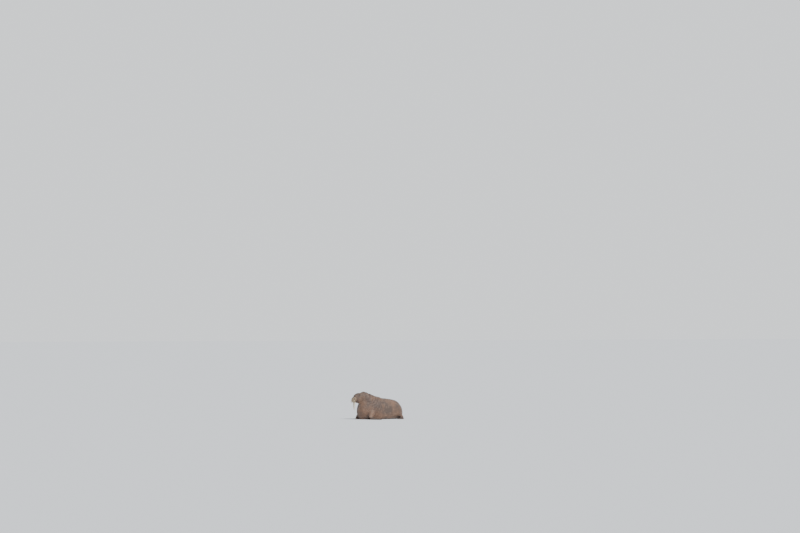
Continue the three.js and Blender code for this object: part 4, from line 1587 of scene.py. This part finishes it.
def ring_faces(around, rings, start=0):
    """The faces of a tube whose points are listed ring by ring."""
    faces = []
    for k in range(rings - 1):
        for i in range(around):
            j = (i + 1) % around
            low, high = start + k * around, start + (k + 1) * around
            faces.append((low + i, low + j, high + j, high + i))
    return faces


def add_piece(name, spots, faces):
    """A new piece from its points and faces, alone selected."""
    mesh = bpy.data.meshes.new(name)
    mesh.from_pydata([tuple(s) for s in spots], [], faces)
    mesh.update()
    made = add_object(name, mesh)
    make_active(made)
    return made


skin_tree = tree_of(skin)
for side in eyes:
    steps = [k / (LID_OUT - 1) for k in range(LID_OUT)]
    angles = [2 * math.pi * i / LID_ROUND for i in range(LID_ROUND)]
    spots = [lid_spot(side, angle, t) for t in steps for angle in angles]
    lid = add_piece("eyelids_" + side, spots, ring_faces(LID_ROUND, LID_OUT))
    if lid.data.polygons[0].normal.dot(Vector(eye_outward(side))) < 0:
        lid.data.flip_normals()
    apply_modifier(lid, "SOLIDIFY", thickness=LID_THICK, offset=-1)
    bpy.ops.object.shade_smooth()
    dress(lid)
    lid.data.materials.append(hide)
    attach(lid, "root")
    print(lid.name, len(lid.data.polygons), "faces")

# %% [markdown]
# ## Tusks
#
# A tusk is a long upper tooth that never stops growing, oval across and gently bowed. It starts as a ring of
# points at the gum, and is drawn down ring by ring along the middle line of the solid tusk, as by hand:
# extrude, move, scale. The tip is worn round. Fine lengthwise grooves are then pressed into it.

# %% Draw the tusks down ring by ring
TUSK_SIDES, TUSK_RINGS = 24, 22
LEVEL_HALF = 0.0025  # points this close in height belong to one ring of the solid
LEAST_RING = 8  # a ring of the solid has at least this many points


def tusk_rings(side):
    """The middle and the half sizes of each ring of the solid tusk, from the gum down."""
    solid = np.array([v.co for v in nodes["tusk_" + side].data.vertices])
    middles, halves = [], []
    for level in np.unique(np.round(solid[:, 2], 3))[::-1]:
        ring = solid[np.abs(solid[:, 2] - level) < LEVEL_HALF]
        if len(ring) >= LEAST_RING:
            middles.append([*((ring.max(0) + ring.min(0)) / 2)[:2], level])
            halves.append(((ring.max(0) - ring.min(0)) / 2)[:2])
    return np.array(middles)[::-1], np.array(halves)[::-1]


def draw_tusk(side):
    middles, halves = tusk_rings(side)
    levels = middles[:, 2]
    heights = levels[-1] + (levels[0] - levels[-1]) * np.linspace(0, 1, TUSK_RINGS) ** 0.9
    spots = [[*(np.interp(z, levels, middles[:, k]) for k in (0, 1)), z] for z in heights]
    wides = [[np.interp(z, levels, halves[:, k]) for k in (0, 1)] for z in heights]
    clear_selection()
    bpy.ops.mesh.primitive_circle_add(vertices=TUSK_SIDES, radius=1, fill_type="NGON", location=spots[0])
    tusk = bpy.context.object
    tusk.name = "ivory_tusk_" + side
    tusk.scale = (*wides[0], 1)
    bpy.ops.object.transform_apply(location=True, rotation=True, scale=True)
    bpy.ops.object.mode_set(mode="EDIT")
    bpy.ops.mesh.select_all(action="SELECT")
    for k in range(1, TUSK_RINGS):
        step = [here - last for here, last in zip(spots[k], spots[k - 1])]
        bpy.ops.mesh.extrude_region_move(TRANSFORM_OT_translate={"value": step})
        shrink = [here / last for here, last in zip(wides[k], wides[k - 1])]
        bpy.ops.transform.resize(value=(*shrink, 1), center_override=spots[k])
    bpy.ops.mesh.select_all(action="SELECT")
    bpy.ops.mesh.normals_make_consistent(inside=False)
    bpy.ops.object.mode_set(mode="OBJECT")
    apply_modifier(tusk, "SUBSURF", levels=2, render_levels=2)
    return tusk


tusks = {side: draw_tusk(side) for side in SIGNS}
print("two tusks,", len(tusks["left"].data.polygons), "faces each")

# %% [markdown]
# ## Ivory
#
# Ivory is cream, yellower where it is young, and stained brown near the gum. Grit wears long fine streaks
# and grooves into it, so both are drawn out along the tusk.

# %% Grooves and ivory
GROOVE_DEPTH, DENT_DEPTH = 0.0009, 0.0006
YOUNG_IVORY, OLD_IVORY = (0.70, 0.60, 0.42, 1), (0.80, 0.73, 0.58, 1)
STREAK, GUM_STAIN = (0.46, 0.34, 0.20, 1), (0.40, 0.28, 0.16, 1)
STAIN_FROM, STAIN_TO = gums["left"].z - 0.16, gums["left"].z - 0.02  # it grows from one height to the other


def ivory_material():
    material = new_material("ivory")
    height = add_node(material, "ShaderNodeSeparateXYZ", {0: object_places(material)}).outputs["Z"]
    streaks = noise_node(material, object_places(material, (90, 90, 5)), 1.0, 5.0, 0.6)
    clouds = noise_node(material, object_places(material), 22.0, 4.0)
    colour = blend(material, between(material, clouds, 0.35, 0.7), YOUNG_IVORY, OLD_IVORY)
    colour = blend(material, between(material, streaks, 0.56, 0.80), colour, STREAK)
    colour = tint(material, between(material, height, STAIN_FROM, STAIN_TO), 0.55, colour, GUM_STAIN)
    finish(
        material,
        Base_Color=colour,
        Roughness=spread(material, clouds, 0.28, 0.50),
        Coat_Weight=0.15,
        Coat_Roughness=0.3,
        Normal=bumps(material, (streaks, 0.35, 0.0008)),
    )
    return material


ivory = ivory_material()
for side, tusk in tusks.items():
    points = points_of(tusk)
    grooves = GROOVE_DEPTH * wrinkles(points * (1, 1, 0.06), 0.012, 41, 1.6)
    depth = grooves + DENT_DEPTH * lumps(points * (1, 1, 0.3), 0.03, 42)
    push_out(tusk, -depth)
    make_active(tusk)
    bpy.ops.object.shade_smooth()
    tusk.data.materials.append(ivory)
    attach(tusk, "root")
    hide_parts("tusk_" + side)
    print(tusk.name, f"grooved up to {depth.max() * 1000:.1f} mm deep")

# %% [markdown]
# ## Whiskers
#
# Several hundred stiff quills grow from the two pads in rows. They are short at the top of the pad and long
# at its outer lower corner, and they lean forward, out and down, each with its own slight bend. One quill is
# a thin tapered rod of a few dozen faces. It is repeated over each pad, with its root set in the skin, where
# a ray from the pad's middle leaves it.

# %% One quill
QUILL_SIDES, QUILL_RINGS = 5, 6
QUILL_POINTS = QUILL_SIDES * QUILL_RINGS + 1
QUILL_THICK, QUILL_LONG = 0.0012, 0.100
QUILL_ROOT = 0.006  # this much of it is in the skin


def quill(root, lie, long, bend, thick):
    """The points of one tapered, bent quill, ring by ring, and a last point for its tip."""
    lie = lie.normalized()
    aside = lie.cross(UP).normalized()
    over = aside.cross(lie)
    spots = []
    for k in range(QUILL_RINGS):
        t = k / QUILL_RINGS
        middle = root + lie * (long * t - QUILL_ROOT) + bend * (long * t * t)
        radius = thick * (1 - 0.75 * t)
        for i in range(QUILL_SIDES):
            a = 2 * math.pi * i / QUILL_SIDES
            spots.append(middle + aside * (radius * math.cos(a)) + over * (radius * math.sin(a)))
    spots.append(root + lie * (long - QUILL_ROOT) + bend * long)
    return spots


def quill_faces(start):
    """The faces of the quill whose points begin at a number: its sides, its tip and its root."""
    last, tip = start + QUILL_POINTS - 1 - QUILL_SIDES, start + QUILL_POINTS - 1
    faces = ring_faces(QUILL_SIDES, QUILL_RINGS, start)
    faces += [(last + i, last + (i + 1) % QUILL_SIDES, tip) for i in range(QUILL_SIDES)]
    faces.append(tuple(start + i for i in reversed(range(QUILL_SIDES))))
    return faces


print("one quill has", len(quill_faces(0)), "faces")

# %% [markdown]
# ## A map of the quills' roots
#
# Hundreds of thin rods would each be unwrapped as a sliver. Instead each quill is one small patch, at the
# place where it leaves the hide, with the hide rolled out flat.

# %% A map of the quills' roots
BAKE_PATCH = 0.003  # each quill's patch of the map is this wide


def unwrapped(points):
    """Places on the hide rolled out flat, the left flank in one half and the right in the other."""
    along, around = body_coordinates(points)
    half = np.where(straightened(points)[:, 1] < 0, 0.5, 0.0)
    return np.column_stack([along / station_along[-1], half + 0.25 + around / (2 * math.pi)])


def add_bake_map(obj, roots):
    """A map in which each quill is a small patch at its root's place on the hide."""
    corner = np.empty(len(obj.data.loops), int)
    obj.data.loops.foreach_get("vertex_index", corner)
    around = np.arange(QUILL_POINTS) % QUILL_SIDES / QUILL_SIDES * 2 * math.pi
    patch = BAKE_PATCH / 2 * np.column_stack([np.cos(around), np.sin(around)])
    flat = np.repeat(unwrapped(np.array(roots)), QUILL_POINTS, axis=0) + np.tile(patch, (len(roots), 1))
    obj.data.uv_layers.new(name="OFBake").data.foreach_set("uv", flat[corner].ravel())


print("a quill's patch is", BAKE_PATCH, "of the map wide")

# %% [markdown]
# ## Quills over both pads
#
# The rows are fanned out from the middle of the pad, with every second row shifted by half a step. Chance
# moves, bends and shortens each quill a little, from a fixed seed, so they come out the same on each run.

# %% Quills over both pads
QUILL_ROWS, QUILL_COLUMNS = 18, 22
TOP_ROW, ROW_FALL = 58, 114  # degrees above level, and down from there to the lowest row
FIRST_COLUMN, COLUMN_SPREAD = -34, 122  # degrees out from straight ahead, and from there round the pad
PAD_FARTHEST = 0.14  # a ray that meets the skin farther off than this has missed the pad


def grow_whiskers(side, rng):
    sign = SIGNS[side]
    middle = head_middle + head_ahead * pad_ahead + head_left * (sign * pad_out) + UP * pad_up
    spots, faces, tones, roots = [], [], [], []
    for row, column in ((r, c) for r in range(QUILL_ROWS) for c in range(QUILL_COLUMNS)):
        rise = math.radians(TOP_ROW - ROW_FALL * (row + 0.5) / QUILL_ROWS + rng.uniform(-2, 2))
        shift = column + 0.5 * (row % 2) + rng.uniform(-0.25, 0.25)
        swing = math.radians(FIRST_COLUMN + COLUMN_SPREAD * shift / QUILL_COLUMNS)
        way = (
            head_ahead * (math.cos(rise) * math.cos(swing))
            + head_left * (sign * math.cos(rise) * math.sin(swing))
            + UP * math.sin(rise)
        )
        hit, normal = onto_skin(middle, way, far=0.3)
        if hit is None or (hit - middle).length > PAD_FARTHEST:
            continue
        low = smooth_step(-way.z + 0.5 * math.sin(swing), -0.8, 0.8)
        long = QUILL_LONG * (0.14 + 0.86 * low) * rng.uniform(0.7, 1.12)
        lie = normal * 0.62 + head_ahead * 0.20 + head_left * (sign * 0.12) - UP * rng.uniform(0.42, 0.62)
        bend = -UP * rng.uniform(0.10, 0.26) - head_left * (sign * rng.uniform(0.0, 0.12))
        faces += quill_faces(len(spots))
        spots += quill(hit, lie, long, bend, QUILL_THICK * rng.uniform(0.75, 1.1))
        tones += [rng.uniform(0, 1)] * QUILL_POINTS
        roots.append(tuple(hit))
    whiskers = add_piece("whiskers_" + side, spots, faces)
    write_attribute(whiskers, "tone", np.array(tones))
    add_bake_map(whiskers, roots)
    return whiskers


def quill_material():
    material = new_material("whisker_horn")
    colour = blend(material, attribute(material, "tone"), (0.62, 0.52, 0.36, 1), (0.40, 0.29, 0.18, 1))
    streaks = noise_node(material, object_places(material), 300.0, 2.0)
    colour = blend(material, between(material, streaks, 0.55, 0.8), colour, (0.28, 0.19, 0.12, 1))
    finish(material, Base_Color=colour, Roughness=0.38)
    return material


whisker_horn = quill_material()
for side, seed in (("left", 11), ("right", 23)):
    whiskers = grow_whiskers(side, random.Random(seed))
    bpy.ops.object.shade_smooth()
    whiskers.data.materials.append(whisker_horn)
    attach(whiskers, "root")
    print(side, len(whiskers.data.polygons), "faces of whiskers")

# %% [markdown]
# ## Nails
#
# Each digit carries a small nail, set back from the tip on the upper side. It is a ball pulled long and
# flattened, half sunk in the hide, and turned the way its digit points. A row of rays that come down on the
# digit finds its tip, working inward from beyond it.

# %% Nails on the digits
NAIL_HALF = (0.0070, 0.0120, 0.0055)
NAIL_RISE = 0.010  # a digit starts where the skin is this high
NAIL_BACK = 0.075  # from the tip of the digit, as a share of the flipper's length
BEYOND_TIP, INWARD = 1.1, 0.01  # where the rays begin, and the step between them, as such shares


def nail_material():
    material = new_material("nail_horn")
    clouds = noise_node(material, object_places(material), 90.0, 3.0)
    colour = blend(material, clouds, (0.060, 0.046, 0.038, 1), (0.20, 0.155, 0.115, 1))
    finish(material, Base_Color=colour, Roughness=0.42, Normal=bumps(material, (clouds, 0.3, 0.0006)))
    return material


def add_nail(axes, across):
    """A nail near the tip of the digit that lies at one place across the flipper."""
    out = BEYOND_TIP
    while (onto_skin(axes.spot(out, across), UP, far=0.3)[0] or Vector()).z < NAIL_RISE:
        out -= INWARD
    spot = axes.spot(out - NAIL_BACK, across)
    way = (axes.spot(out, across) - spot).normalized()
    return add_ball(onto_skin(spot, UP, far=0.3)[0], NAIL_HALF, math.atan2(-way.x, way.y))


nail_horn = nail_material()
for name, axes in flipper_axes.items():
    nails = joined([add_nail(axes, (digit + 0.5) / DIGITS) for digit in range(DIGITS)])
    nails.name = name.replace("flipper", "nails")
    bpy.ops.object.shade_smooth()
    nails.data.materials.append(nail_horn)
    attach(nails, "root")
    print(nails.name, len(nails.data.polygons), "faces")

# %% [markdown]
# ## Sizes at the end
#
# Both boxes, the solids' and the finished animal's, are printed side by side before the script ends. The
# finished animal may stand only a little proud of the solids.

# %% Sizes, and the end
made_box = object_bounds()
for name, box in (("solids", cad_box), ("animal", made_box)):
    print(name, [round(v, 3) for v in (*box[0], *box[1])])
